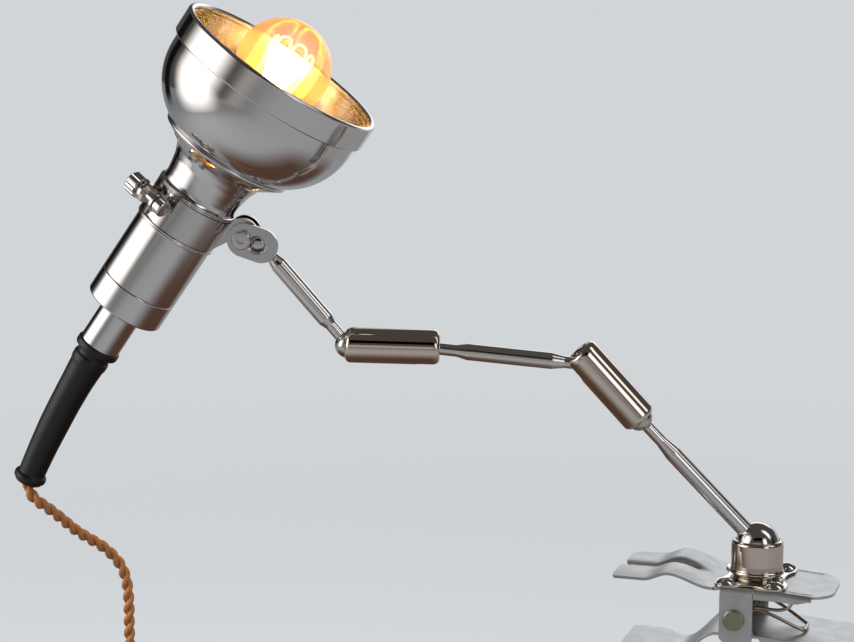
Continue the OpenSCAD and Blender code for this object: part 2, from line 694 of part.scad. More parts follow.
// The strap is a band split at the cheeks and at its bolt, with two lugs at each split
module strap_band() {
    ear_r = 8.2;
    ear_pt = screw_pt + [1.2, 1.6];
    lug_centre = [bolt_reach, bolt_z];
    color("LightGray") in_head() difference() {
        union() {
            difference() {
                translate([0, 0, -strap_h / 2]) ring_plate(strap_h, strap_out, strap_in);
                translate([-60, -cheek_in + lug_t + touch, -50]) cube([60, cheek_gap - 2 * lug_t - 2 * touch, 100]);
                rotate([0, 0, bolt_turn]) translate([0, bolt_shift - lug_half, -50]) cube([60, 2 * lug_half, 100]);
            }
            difference() {
                for (s = [-1, 1]) flat_at(s * (cheek_in - touch - lug_t / 2), lug_t) {
                    polygon([
                        [-strap_in, -strap_h / 2], [-strap_in, strap_h / 2],
                        ear_pt + ear_r * [cos(112), sin(112)], ear_pt - ear_r * [cos(118), sin(118)]
                    ]);
                    translate(ear_pt) circle(ear_r, $fn = smooth);
                }
                upright(100, strap_in, -50);
                upright(60, bead_out + soft_gap, strap_h / 2);
                translate([-neck_reach, 0, neck_rise]) sphere(neck_ball_r + soft_gap, $fn = smooth);
                translate([-neck_reach, 0, neck_rise]) rotate([0, head_tilt + 90 - upper_angle, 0]) upright(60, neck_ball_r + soft_gap, -60);
            }
            rotate([0, 0, bolt_turn]) difference() {
                for (s = [-1, 1]) flat_at(bolt_shift + s * (lug_half + lug_t / 2), lug_t) {
                    translate([0, bolt_z - 5]) square([bolt_reach, 10]);
                    translate(lug_centre) circle(5, $fn = smooth);
                }
                upright(100, strap_in, -50);
            }
        }
        screw_line(cheek_screw_r + touch, -20, 20);
        on_bolt_line() rotate([90, 0, 0]) cylinder(h = 40, r = bolt_r + run_gap, center = true, $fn = smooth);
    }
}
bolt_r = 1.95;
lug_out = lug_half + lug_t;
module on_bolt_line() rotate([0, 0, bolt_turn]) translate([bolt_reach, bolt_shift, bolt_z]) children();
module on_bolt() in_head() on_bolt_line() rotate([-90, 0, 0]) children();
module strap_nut() {
    from = lug_out + touch;
    color("Silver") on_bolt() lathe([
        [bolt_r + run_gap, from], [3.6, from], [4.4, from + 0.6], [4.4, from + 4.6], [3.8, from + 5.4],
        [bolt_r + run_gap, from + 5.4]
    ]);
}
module strap_knob() {
    flutes = 10;
    from = -lug_out - touch;
    color("Silver") on_bolt() difference() {
        lathe([
            [0, lug_out + 5], [bolt_r, lug_out + 5], [bolt_r, from], [3.4, from], [3.4, from - 1.6],
            [5.8, from - 2.4], [5.8, from - 8.4], [5, from - 9.2], [0, from - 9.2]
        ]);
        for (i = [1 : flutes]) rotate([0, 0, 360 * i / flutes]) translate([6.3, 0, from - 10.2]) cylinder(h = 8.2, r = 1, $fn = 24);
        translate([-7, -0.5, from - 10.2]) cube([14, 1, 2.2]);
    }
}

// Head
module rim_ring() {
    roll = 1.6;
    color("Silver") in_head() lathe(concat(
        [[bowl_r + touch, rim_z - collar_h], [rim_r - 0.4, rim_z - collar_h], [rim_r, rim_z - collar_h + 0.5]],
        arc([rim_r - roll, rim_z - roll], roll, 0, 180, 10),
        [[rim_r - 2 * roll, bowl_top + touch], [bowl_r + touch, bowl_top + touch]]
    ));
}

module shade_bowl() {
    c = [bowl_r - bowl_arc_r, shoulder_z];
    color("Silver") in_head() lathe(concat(
        [[bowl_r, bowl_top]],
        [[bowl_r - bowl_wall, bowl_top]],
        arc(c, bowl_arc_r - bowl_wall, 0, -bowl_arc_end, 16),
        [[throat_r, bowl_foot_z + bowl_wall], [throat_r, bowl_foot_z], [bowl_foot_r, bowl_foot_z]],
        backwards(arc(c, bowl_arc_r, 0, -bowl_arc_end, 16))
    ));
}

module bead_ring() {
    roll = 1.05;
    color("Silver") in_head() lathe(concat(
        [[bead_r - 4, bowl_foot_z - 2 * roll], [bead_r - roll, bowl_foot_z - 2 * roll]],
        arc([bead_r - roll, bowl_foot_z - roll], roll, -90, 90, 6),
        [[bead_r - 4, bowl_foot_z]]
    ));
}

module vented_neck() {
    slope = atan2(neck_top - flare_z, bead_r - 1 - flare_r);
    mid = [(bead_r - 1 + flare_r) / 2, (neck_top + flare_z) / 2];
    vent_w = 4.4;
    wall = bowl_wall;
    throat_out = flare_r - 1.4;
    stem_out = flare_r - 3;
    color("Silver") in_head() difference() {
        lathe([
            [bead_r - 1, neck_top], [flare_r, flare_z], [throat_out, flare_z - 2.4], [stem_out, flare_z - 6.4], [waist_r + 0.5, waist_z + 4],
            [waist_r, waist_z], [waist_r + 0.4, bead_low + 2.6], [bead_out, bead_low + 2], [bead_out, bead_low + 1.3],
            [bead_out - 0.5, bead_low + 1.1], [bead_out, bead_low + 0.9], [bead_out, bead_low], [waist_r - wall, bead_low],
            [waist_r - wall, waist_z], [waist_r + 0.5 - wall, waist_z + 4], [stem_out - wall, flare_z - 6.4],
            [throat_out - wall, flare_z - 2.4], [flare_r - wall, flare_z + 1], [bead_r - 2.4, neck_top - eps]
        ]);
        for (i = [0 : vents - 1]) rotate([0, 0, 78 + 360 * i / vents]) translate([mid[0], 0, mid[1]])
            rotate([0, -slope, 0]) {
                cube([vent_w, vent_len - vent_w, 10], center = true);
                for (s = [-1, 1]) translate([0, s * (vent_len - vent_w) / 2, -5]) cylinder(h = 10, r = vent_w / 2, $fn = smooth);
            }
    }
}

module holder_body() {
    grip_end = -strap_h / 2 - 0.3;
    spigot_r = waist_r - bowl_wall - soft_gap;
    inner = porcelain_r + soft_gap;
    color("Silver") in_head() difference() {
        lathe([
            [inner, holder_end], [holder_r, holder_end], [holder_r, grip_end - 2], [bead_out, grip_end - 2],
            [bead_out, grip_end - 1.2], [bead_out - 0.4, grip_end - 1], [bead_out, grip_end - 0.8], [bead_out, grip_end], [collar_r, grip_end],
            [collar_r, bead_low - touch], [spigot_r, bead_low - touch], [spigot_r, waist_z + 2], [inner, waist_z + 2]
        ]);
    }
}

module end_cap() {
    groove = 0.5;
    color("Silver") in_head() lathe([
        [cord_tube_r + touch, cap_end], [holder_r - 0.6, cap_end], [holder_r, cap_end + 0.8], [holder_r, holder_end - groove],
        [holder_r - groove, holder_end], [porcelain_r + 0.2, holder_end], [porcelain_r + 0.2, holder_end + 4],
        [porcelain_r - 1.2, holder_end + 4], [porcelain_r - 1.2, cap_end + 2], [cord_tube_r + touch, cap_end + 2]
    ]);
}

module cord_tube() {
    inner = cord_tube_r - 1.1;
    color("Silver") in_head() lathe([
        [inner, tube_end], [cord_tube_r, tube_end], [cord_tube_r, cap_end + 2 + touch], [cord_tube_r + 2.4, cap_end + 2 + touch],
        [cord_tube_r + 2.4, cap_end + 3.6], [inner, cap_end + 3.6]
    ]);
}

// The boot follows the head's axis and bends more and more towards its end
function boot_axis(s) = [-boot_bend * pow(max(s, 0) / boot_len, 1.9), 0, tube_end - s];
boot_shape = [
    [0, 11], [0.6, 11.7], [3.6, 11.7], [4.3, 11.2], [4.8, 9.1], [7.4, 8.8], [8.3, 9.7], [12, 9.6], [14, 9],
    [24, 8.4], [36, 8.1], [50, 7.9], [62, 7.5], [boot_len - 9, 7.1], [boot_len - 8, 7.9], [boot_len - 6.5, 8.2],
    [boot_len - 3.5, 8.1], [boot_len - 2.5, 7.4], [boot_len, 7]
];
module rubber_boot() {
    color("DimGray") in_head() hollow_tube(
        [for (q = boot_shape) boot_axis(q[0])], [for (q = boot_shape) q[1]], [for (q = boot_shape) cord_r + 0.7], 20
    );
}

module porcelain_base() {
    color("WhiteSmoke") in_head() difference() {
        upright(porcelain_top - porcelain_end, porcelain_r, porcelain_end);
        upright(8, 1.8 + soft_gap, porcelain_top - 7);
        for (s = [-1, 1]) translate([s * 8, 0, 0]) upright(5, 1.2 + touch, porcelain_end - past);
    }
}

module screw_shell() {
    out = shell_in + shell_wall;
    ridge = 0.35;
    thread = 3.6;
    from = porcelain_top + 3;
    color("Goldenrod") in_head() lathe(concat(
        [[5, porcelain_top], [out, porcelain_top], [out, from]],
        [for (i = [0 : 5], q = [[ridge, 0.25], [ridge, 0.5], [0, 0.75], [0, 1]]) [out + q[0], from + thread * (i + q[1])]],
        [[shell_in, from + 6 * thread], [shell_in, porcelain_top + shell_wall], [5, porcelain_top + shell_wall]]
    ));
}

module centre_contact() {
    top = bulb_foot_z - soft_gap;
    color("Gold") in_head() {
        upright(0.8, 3.6, top - 0.8);
        upright(6, 1.8, top - 6.7);
    }
}

module terminal_screws() {
    color("Gold") in_head() for (s = [-1, 1]) translate([s * 8, 0, 0]) {
        upright(2, 2.4, porcelain_end - 2);
        upright(4, 1.2, porcelain_end - eps);
    }
}

module lead_wires() {
    wire = 1.3;
    color("SaddleBrown") in_head() for (s = [-1, 1]) tube(concat(
        [[s * 8, 0, porcelain_end - 2.1], [s * 8, 0, porcelain_end - 10], [s * 5, 0, porcelain_end - 20], [s * 1.8, 0, porcelain_end - 30]],
        [for (z = [0 : 2]) [s * 1.8, 0, cap_end + 2 - z * cord_tube_len / 3]],
        [for (q = [0 : 6]) boot_axis(q * (boot_len - cord_in_boot - soft_gap) / 6) + [s * 1.8, 0, 0]]
    ), wire, 6);
}

module cord_grip() {
    color("Gray") in_head() translate([0, 0, cap_end - 14]) ring_plate(8, cord_tube_r - 1.2, 3.7);
}

// Bulb
glass_wall = 0.8;
glass_neck_r = bulb_cap_r - 0.9;
function glass_outline(inset) = concat(
    [[glass_neck_r - inset, glass_z], [glass_neck_r - inset, glass_z + 7],
     [glass_neck_r + 0.6 - inset, glass_z + 14], [glass_neck_r + 1.9 - inset, glass_z + 22]],
    arc([0, globe_z], globe_r - inset, -49, 90, 20)
);
module bulb_glass() {
    color([1, 0.75, 0.35, 0.5]) in_head() lathe(concat(glass_outline(0), backwards(glass_outline(glass_wall))));
}

module bulb_cap() {
    cap_bore = glass_neck_r + 0.1;
    ridge = 0.6;
    thread = 3.6;
    color("LightGray") in_head() lathe(concat(
        [[0, bulb_foot_z], [3.2, bulb_foot_z], [4.6, bulb_foot_z + 1], [6, bulb_foot_z + 1.4], [bulb_cap_r - 2.6, cap_z]],
        [for (i = [0 : 3], q = [[ridge, 0], [ridge, 0.2], [0, 0.45], [0, 0.65], [ridge, 0.9]]) [bulb_cap_r - q[0], cap_z + 0.6 + thread * (i + q[1])]],
        [[bulb_cap_r - 0.4, cap_z + bulb_cap_len], [cap_bore, cap_z + bulb_cap_len], [cap_bore, glass_z]],
        [[cap_bore - 4.4, glass_z - 0.6], [cap_bore - 4.4, bulb_foot_z + 6], [0, bulb_foot_z + 6]]
    ));
}

module bulb_filament() {
    stem_top = globe_z - 14;
    span = 9;
    bar_z = globe_z + span;
    lean = 18;
    color("Orange") in_head() {
        lathe([[0, glass_z - 0.5], [7.8, glass_z - 0.5], [4, glass_z + 5], [2.4, stem_top - 4], [2.4, stem_top], [0, stem_top]]);
        for (s = [-1, 1]) {
            translate([s * 1.2, 0, stem_top - 2]) rotate([0, s * lean, 0]) cylinder(h = (bar_z - stem_top + 2.7) / cos(lean), r = 0.35, $fn = 16);
        }
        translate([0, 0, bar_z]) rotate([0, 90, 0]) cylinder(h = 2 * span + 1, r = 0.6, center = true, $fn = 16);
    }
}

// Cord and what is on it
function in_arm_pt(p) = [post_x, 0, ball_z] + [
    p[0] * cos(180 + arm_yaw) - p[1] * sin(180 + arm_yaw), p[0] * sin(180 + arm_yaw) + p[1] * cos(180 + arm_yaw), p[2]
];
function leaned(p) = [p[0], p[1] * cos(head_lean) + p[2] * sin(head_lean), -p[1] * sin(head_lean) + p[2] * cos(head_lean)];
function tilted(p) = [p[0] * cos(head_tilt) - p[2] * sin(head_tilt), p[1], p[0] * sin(head_tilt) + p[2] * cos(head_tilt)];
function in_head_pt(p) = in_arm_pt(pt_e + tilted(leaned(p + [neck_reach, 0, -neck_rise])));

module cord_lead() {
    color("Sienna") tube(concat(
        [in_head_pt(boot_axis(boot_len - cord_in_boot)), in_head_pt(boot_end)],
        lead_points, [[drop_x, drop_y, switch_top]]
    ), cord_r, 8);
}

module switch_block(y, side) difference() {
    translate([drop_x, y, (switch_top + switch_bottom) / 2]) rotate([90, 0, 0]) linear_extrude(switch_d / 2, center = true) {
        square([switch_w, switch_len - 12], center = true);
        square([switch_w - 12, switch_len], center = true);
        for (sx = [-1, 1], sz = [-1, 1]) translate([sx * (switch_w / 2 - 6), sz * (switch_len / 2 - 6)]) circle(6, $fn = smooth);
    }
    translate([drop_x - switch_w / 2 + 2, y - switch_d / 4 + (side < 0 ? 2 : -past), switch_bottom + 6])
        cube([switch_w - 4, switch_d / 2 - 2 + past, switch_len - 12]);
}
switch_mid = (switch_top + switch_bottom) / 2;
rocker_w = 8;
rocker_len = 20;
rocker_y = drop_y - 3.2;
rocker_rest = 6;
module at_rocker() translate([drop_x, rocker_y, switch_mid]) children();
module switch_base() color("SaddleBrown") switch_block(drop_y + switch_d / 4 + touch / 2, 1);
module switch_cover() {
    color("SaddleBrown") difference() {
        union() {
            switch_block(drop_y - switch_d / 4 - touch / 2, -1);
            at_rocker() for (s = [-1, 1]) translate([s * (rocker_w / 2 + 1.5), -1.6, 0]) cube([2, 6, 6], center = true);
        }
        at_rocker() {
            translate([0, -5, 0]) cube([rocker_w + 2 * soft_gap, 6, rocker_len + 1.6], center = true);
            rotate([0, 90, 0]) cylinder(h = rocker_w + 20 - switch_w / 2, r = 1.1 + run_gap, center = true, $fn = smooth);
        }
    }
}
module switch_rocker() {
    half = rocker_len / 2;
    color("Wheat") at_rocker() rotate([rocker_rest, 0, 0]) {
        rotate([90, 0, 90]) linear_extrude(rocker_w, center = true)
            polygon([[1.2, -2.5], [1.2, 2.5], [-3, half], [-6.4, half], [-5.4, 0], [-6.4, -half], [-3, -half]]);
        rotate([0, 90, 0]) cylinder(h = rocker_w + 4, r = 1.1, center = true, $fn = smooth);
    }
}

module cord_drop() {
    bend = arc([drop_x + bend_r, coil_top + bend_r], bend_r, 180, 270, 5);
    color("Sienna") tube(concat(
        [[drop_x, drop_y, switch_bottom], [drop_x, drop_y, switch_bottom - 4]],
        [for (q = bend) [q[0], drop_y, q[1]]], [[coil_start_x, drop_y, coil_top]]
    ), cord_r, 8);
}

// Loops spiral in on the front layer, climb, and spiral out on the back layer, starting at the top and
// ending a quarter turn on, at the right-hand side
coil_rings = 24;
coil_steps = coil_rings * loops + coil_rings / 4;
inward = loop_step * (loops + 1 / 4) / 2;
function coil_point(i) = let (
    t = i / coil_steps, turn = 90 - 360 * i / coil_rings,
    r = loop_r - inward * (1 - abs(2 * t - 1)),
    y = drop_y + loop_step * ease((i - coil_steps / 2 + coil_rings / 4) / (coil_rings / 2))
) [coil_x + r * cos(turn), y, coil_z + r * sin(turn)];
loop_path = concat(
    [[coil_start_x, drop_y, coil_top]],
    [for (i = [0 : coil_steps]) coil_point(i)],
    [[tail_x, tail_y, coil_z - 2 * cord_r]]
);
module cord_coil() color("Sienna") tube(loop_path, cord_r, 6);

module cord_tail() {
    from = coil_z - 2 * cord_r;
    color("Sienna") tube([for (k = [0 : 3]) [tail_x, tail_y, from - (from - plug_top) * k / 3]], cord_r, 8);
}

module coil_tie() {
    grip = 135;
    hole = [inward + 2 * cord_r + 2, loop_step + 2 * cord_r + 1.2];
    mid_r = loop_r - inward / 2;
    color("Black") translate([coil_x, drop_y + loop_step / 2, coil_z]) rotate([0, -grip, 0]) translate([mid_r, 0, 0]) difference() {
        cube([hole[0] + 2, hole[1] + 2, 9], center = true);
        cube([hole[0], hole[1], 12], center = true);
    }
}

module plug_stadium(h, w, d, z) translate([tail_x, tail_y, z]) linear_extrude(h) {
    square([w - d, d], center = true);
    for (s = [-1, 1]) translate([s * (w - d) / 2, 0]) circle(d / 2, $fn = smooth);
}
module plug_pins_at(z) for (s = [-1, 1]) translate([tail_x + s * plug_pin_pitch / 2, tail_y, z]) children();
module plug_body() {
    color("DimGray") difference() {
        union() {
            plug_stadium(plug_len, 34, 13, plug_bottom);
            plug_stadium(5 + eps, 22, 11, plug_bottom + plug_len - eps);
            translate([tail_x, tail_y, plug_top - 8 - eps]) cylinder(h = 8 + eps, r1 = 5, r2 = cord_r + 1, $fn = smooth);
        }
        plug_pins_at(plug_bottom - past) cylinder(h = 6 + past, r = plug_pin_r - 0.5, $fn = smooth);
    }
}
module plug_pins() {
    color("Silver") plug_pins_at(plug_bottom) lathe([
        [0, 6], [plug_pin_r - 0.5, 6], [plug_pin_r - 0.5, 0], [plug_pin_r, 0], [plug_pin_r, 1.2 - plug_pin_len],
        [plug_pin_r - 0.9, -plug_pin_len], [0, -plug_pin_len]
    ]);
}

union() {
    echo(str("least gap of the clamp spring to itself: ", least_gap(spring_path, wire_r, 6)));
    echo(str("least gap of the coupling spring to itself: ", least_gap(coil_path, coil_wire, 6)));
    echo(str("least gap of the cord's loops to themselves: ", least_gap(loop_path, cord_r, 12)));
}

upper_clamp_plate();
pivot_pin();
clamp_spring();
foot_flange();
flange_screws();
bell_housing();
disc_springs();
turning_seat();
base_ball();
lower_rod();
lower_rod_ball();
lower_sleeve();
lower_seats();
lower_coupling_spring();
middle_rod_low_ball();
middle_rod();
middle_rod_high_ball();
upper_sleeve();
upper_seats();
upper_coupling_spring();
upper_rod_low_ball();
upper_rod();
upper_rod_high_ball();
near_cheek();
far_cheek();
cheek_screw();
cheek_nut();
strap_band();
strap_nut();
strap_knob();
rim_ring();
shade_bowl();
bead_ring();
vented_neck();
holder_body();
end_cap();
cord_tube();
rubber_boot();
porcelain_base();
screw_shell();
terminal_screws();
lead_wires();
cord_grip();
centre_contact();
bulb_glass();
bulb_cap();
bulb_filament();
cord_lead();
switch_base();
switch_cover();
switch_rocker();
cord_drop();
cord_coil();
cord_tail();
coil_tie();
plug_body();
plug_pins();
lower_lever();
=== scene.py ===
# %% [markdown]
# # A clip-on lamp, dressed
# The lamp arrives as a finished mechanical model: every rod, ball, sleeve and plate is already at its real
# size and in its real place. This lesson gives it its looks. Polished metal is the hard part, because a
# mirror shows every flat facet and every hard edge, so most metal pieces are made again here as smooth
# turned or pressed shapes over the mechanical ones. The rest keep their shape and only get a finish.

# %% Open the frame and keep its size
import json
import math

import bpy
from mathutils import Euler, Matrix, Vector


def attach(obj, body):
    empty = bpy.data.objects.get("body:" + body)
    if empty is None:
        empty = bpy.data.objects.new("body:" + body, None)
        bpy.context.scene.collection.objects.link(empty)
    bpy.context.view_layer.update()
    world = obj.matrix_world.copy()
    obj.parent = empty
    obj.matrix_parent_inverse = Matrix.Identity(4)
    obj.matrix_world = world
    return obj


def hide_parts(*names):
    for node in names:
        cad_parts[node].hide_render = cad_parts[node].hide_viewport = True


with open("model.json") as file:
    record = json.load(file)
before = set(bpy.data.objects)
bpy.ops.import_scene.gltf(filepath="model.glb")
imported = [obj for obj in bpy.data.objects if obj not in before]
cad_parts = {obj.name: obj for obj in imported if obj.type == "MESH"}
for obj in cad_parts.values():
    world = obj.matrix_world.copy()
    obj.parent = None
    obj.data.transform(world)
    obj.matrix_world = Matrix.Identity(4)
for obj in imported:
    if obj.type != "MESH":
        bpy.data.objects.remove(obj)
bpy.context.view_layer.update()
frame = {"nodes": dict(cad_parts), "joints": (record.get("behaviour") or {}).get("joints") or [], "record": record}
record = frame["record"]
joints = {j["name"]: j for j in frame["joints"]}
body_of = {n: body for body, names in record["behaviour"]["bodies"].items() for n in names}
MM = 0.001

# %% [markdown]
# The camera comes first, because what it sees decides how much detail each piece needs. It stands about a
# metre in front of the lamp and a little above the arm, turned 19 degrees to the left and looking slightly
# down. A long lens keeps the rods from spreading apart with distance, as in a product picture.

# %% Camera
sensor_mm, lens_mm, pitch, turned_left = 36, 84.31, 81.9, 19
camera_data = bpy.data.cameras.new("camera")
camera_data.sensor_width, camera_data.lens, camera_data.clip_end = sensor_mm, lens_mm, 50
camera = bpy.data.objects.new("camera", camera_data)
camera.location = (0.2262, -1.0007, 0.2752)
camera.rotation_euler = Euler((math.radians(pitch), 0, math.radians(turned_left)))
bpy.context.scene.collection.objects.link(camera)
bpy.context.scene.camera = camera
bpy.context.scene.view_settings.view_transform = "Standard"
print("camera at", tuple(camera.location))

# %% [markdown]
# Each piece is easiest to draw in its own straight-up position: a rod along Z, the head with its axis
# upright. A local frame then carries it to its place on the tilted arm. The joints of the mechanical model
# already say where those axes lie, so the frames are worked out from them and nothing is typed twice.
# Local drawings are in millimetres, and the frame brings them to metres.

# %% Local frames worked out from the joints
def point(name):
    return Vector(joints[name]["pos_m"])


def axis(name):
    return Vector(joints[name]["axis"]).normalized()


def local_frame(origin, up, side):
    z = up.normalized()
    x = (side - side.dot(z) * z).normalized()
    turn = Matrix((x, z.cross(x), z)).transposed().to_4x4()
    return Matrix.Translation(origin) @ turn @ Matrix.Scale(MM, 4)


base_ball_at = point("base_swivel")
low_mouth_at, low_nose_at = point("low_mouth_tilt"), point("low_nose_tilt")
high_nose_at, high_mouth_at = point("high_nose_tilt"), point("high_mouth_tilt")
neck_ball_at = point("neck_tilt")
hinge_line = axis("base_tilt")
post = local_frame(base_ball_at, Vector((0, 0, 1)), Vector((1, 0, 0)))
lower_rod_place = local_frame(base_ball_at, low_mouth_at - base_ball_at, hinge_line)
middle_rod_place = local_frame(low_nose_at, high_nose_at - low_nose_at, hinge_line)
upper_rod_place = local_frame(high_mouth_at, neck_ball_at - high_mouth_at, hinge_line)
low_line, high_line = low_mouth_at - low_nose_at, high_mouth_at - high_nose_at
low_coupling = local_frame(low_nose_at, low_line, low_line.cross(hinge_line))
high_coupling = local_frame(high_nose_at, high_line, hinge_line.cross(high_line))
head_at, head_up = point("head_turn"), axis("head_turn")
head = local_frame(head_at, head_up, head_at - neck_ball_at)
row = Matrix.Scale(MM, 4)
print("head axis", tuple(round(v, 3) for v in head_up))

# %% [markdown]
# ## Drawing round parts
# Most of this lamp came off a lathe, so most pieces start the same way: one point is placed at the start of
# the outline, extruded from step to step along it, and the finished outline is spun round the axis. The spin
# leaves a seam, which merging by distance closes, and the faces are then turned to point outwards. A thin
# bevel takes the edge off every sharp corner, because a real edge is never perfectly sharp and a polished
# one shows as a bright line.

# %% Select, edit, place and start a piece
def pick(*objects):
    bpy.ops.object.select_all(action="DESELECT")
    for o in objects:
        o.select_set(True)
    bpy.context.view_layer.objects.active = objects[-1]


def in_edit_mode(piece, *steps):
    pick(piece)
    bpy.ops.object.mode_set(mode="EDIT")
    bpy.ops.mesh.select_all(action="SELECT")
    for step in steps:
        step()
    bpy.ops.object.mode_set(mode="OBJECT")


def apply_modifier(piece, kind, **settings):
    pick(piece)
    made = piece.modifiers.new(kind.lower(), kind)
    for key, value in settings.items():
        setattr(made, key, value)
    bpy.ops.object.modifier_apply(modifier=made.name)


def break_edges(piece, width, angle=32, segments=2):
    apply_modifier(piece, "BEVEL", width=width, segments=segments, limit_method="ANGLE",
                   angle_limit=math.radians(angle), use_clamp_overlap=True, miter_outer="MITER_ARC")


def smooth(piece, angle=32):
    """Smooth shading up to the angle, with each large face kept flat and the bevels taking the turn."""
    pick(piece)
    bpy.ops.object.shade_smooth_by_angle(angle=math.radians(angle))
    apply_modifier(piece, "WEIGHTED_NORMAL", keep_sharp=True)


def put(piece, place):
    piece.data.transform(place)
    piece.data.update()
    return piece


def linked(name, data):
    made = bpy.data.objects.new(name, data)
    bpy.context.scene.collection.objects.link(made)
    return made


def primitive(name, add_mesh, location=(0, 0, 0), **sizes):
    bpy.ops.object.select_all(action="DESELECT")
    add_mesh(location=location, **sizes)
    bpy.context.object.name = name
    return bpy.context.object


# %% Arcs and outlines
def arc(centre, radius, start, end, steps=8):
    angles = [math.radians(start + (end - start) * i / steps) for i in range(steps + 1)]
    return [(centre[0] + radius * math.cos(a), centre[1] + radius * math.sin(a)) for a in angles]


def rounded(outline, radius, closed, steps=4):
    """The outline with each corner replaced by a small curve; a short side keeps some straight."""
    points = [Vector((x, 0, z)) for x, z in outline]
    corners = []
    for i, p in enumerate(points):
        if not closed and i in (0, len(points) - 1):
            corners.append((p.x, p.z))
            continue
        before, after = points[i - 1] - p, points[(i + 1) % len(points)] - p
        turn = math.pi - before.angle(after)
        reach = min(radius, 0.4 * before.length, 0.4 * after.length)
        if turn < 0.02 or (turn < 0.3 and reach < 0.25 * radius):
            corners.append((p.x, p.z))
            continue
        a, b = p + reach * before.normalized(), p + reach * after.normalized()
        for k in range(steps + 1):
            t = k / steps
            q = (1 - t) ** 2 * a + 2 * t * (1 - t) * p + t**2 * b
            corners.append((q.x, q.z))
    return corners


# %% An outline spun into a solid
def turned(name, outline, place, steps=128, edge=0.2, closed=False):
    """A lathe part: the outline is drawn edge by edge and spun round Z, then carried to its place."""
    outline = rounded(outline, edge, closed)
    piece = primitive(name, bpy.ops.mesh.primitive_circle_add, vertices=3, radius=0.5)
    bpy.ops.object.mode_set(mode="EDIT")
    bpy.ops.mesh.select_all(action="SELECT")
    bpy.ops.mesh.merge(type="CENTER")
    bpy.ops.transform.translate(value=(outline[0][0], 0, outline[0][1]))
    here = outline[0]
    for there in outline[1:] + outline[:1] if closed else outline[1:]:
        step = (there[0] - here[0], 0, there[1] - here[1])
        bpy.ops.mesh.extrude_region_move(TRANSFORM_OT_translate={"value": step})
        here = there
    bpy.ops.mesh.select_all(action="SELECT")
    bpy.ops.mesh.spin(steps=steps, angle=2 * math.pi, center=(0, 0, 0), axis=(0, 0, 1))
    bpy.ops.mesh.select_all(action="SELECT")
    bpy.ops.mesh.remove_doubles(threshold=0.0005)
    bpy.ops.mesh.normals_make_consistent(inside=False)
    bpy.ops.object.mode_set(mode="OBJECT")
    return put(piece, place) if place is not None else piece


# %% [markdown]
# Holes, slots and flutes are cut the way a machinist cuts them: a tool in the shape of the hole is pushed
# into the work. Here the tool is a mesh of its own, and a Boolean modifier takes it away from the piece.
# The tool runs past both faces, so that no thin skin is left behind.

# %% Cutters
def bar(name, size, centre=(0, 0, 0), turn=None):
    piece = primitive(name, bpy.ops.mesh.primitive_cube_add, size=1)
    piece.data.transform(Matrix.Diagonal((*size, 1)))
    piece.data.transform(Matrix.Translation(centre) @ (turn or Matrix.Identity(4)))
    return piece


def pin(name, radius, length, centre=(0, 0, 0), turn=None, sides=48):
    piece = primitive(name, bpy.ops.mesh.primitive_cylinder_add, vertices=sides, radius=radius, depth=length)
    piece.data.transform(Matrix.Translation(centre) @ (turn or Matrix.Identity(4)))
    return piece


def cut(piece, *tools):
    for tool in tools:
        apply_modifier(piece, "BOOLEAN", operation="DIFFERENCE", solver="EXACT", object=tool)
        bpy.data.objects.remove(tool)
    return piece


# %% [markdown]
# Flat plates, lugs and moulded shells already have their true outline in the mechanical model. A merged copy
# of such a node gets rounded edges and smooth shading, and then stands in for the node it came from.

# %% Copies with softened edges
def softened(node, width, segments=2):
    """A copy of a node with its edges rounded; the width is in millimetres."""
    piece = linked(node + "_finished", frame["nodes"][node].data.copy())
    in_edit_mode(
        piece,
        lambda: bpy.ops.mesh.remove_doubles(threshold=1e-6),
        lambda: bpy.ops.mesh.dissolve_limited(angle_limit=math.radians(0.6)),
    )
    break_edges(piece, width * MM, segments=segments)
    return piece


def settle(piece, material, *nodes, body=None):
    """Gives a finished piece its material and its body; it stands for the nodes that are named."""
    smooth(piece)
    piece.data.materials.clear()
    piece.data.materials.append(material)
    if nodes:
        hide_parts(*nodes)
    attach(piece, body or body_of[nodes[0]])
    return piece


def dressed(node, material, width, segments=2):
    """A softened copy of a node, settled in that node's place."""
    return settle(softened(node, width, segments), material, node)


# %% [markdown]
# ## Finishes
# A finish is a small network of nodes. Two helpers keep the networks short: one turns the hex colours that
# designers write into the linear values that light needs, and one adds a node, sets it and links it. Patterns
# are laid out in millimetres in the piece's own local frame, so a lathe mark of a third of a millimetre is
# written as just that. A finish is made once for each frame and shared by the pieces drawn in it.

# %% Colour and node helpers
def colour(code):
    values = [int(code[i:i + 2], 16) / 255 for i in (1, 3, 5)]
    linear = [v / 12.92 if v <= 0.04045 else ((v + 0.055) / 1.055) ** 2.4 for v in values]
    return (*linear, 1)


def add(tree, kind, inputs=None, **settings):
    made = tree.nodes.new("ShaderNode" + kind)
    for key, value in settings.items():
        setattr(made, key, value)
    for key, value in (inputs or {}).items():
        if isinstance(value, bpy.types.NodeSocket):
            tree.links.new(value, made.inputs[key])
        else:
            made.inputs[key].default_value = value
    return made


def surface(name, code, **sockets):
    material = bpy.data.materials.new(name)
    material.use_nodes = True
    shader = material.node_tree.nodes["Principled BSDF"]
    shader.inputs["Base Color"].default_value = colour(code)
    for key, value in sockets.items():
        shader.inputs[key.replace("_", " ")].default_value = value
    return material, material.node_tree, shader


# %% Short names for the nodes that come back often
def calc(tree, operation, *values):
    return add(tree, "Math", dict(enumerate(values)), operation=operation).outputs[0]


def split(tree, vector):
    return add(tree, "SeparateXYZ", {"Vector": vector}).outputs


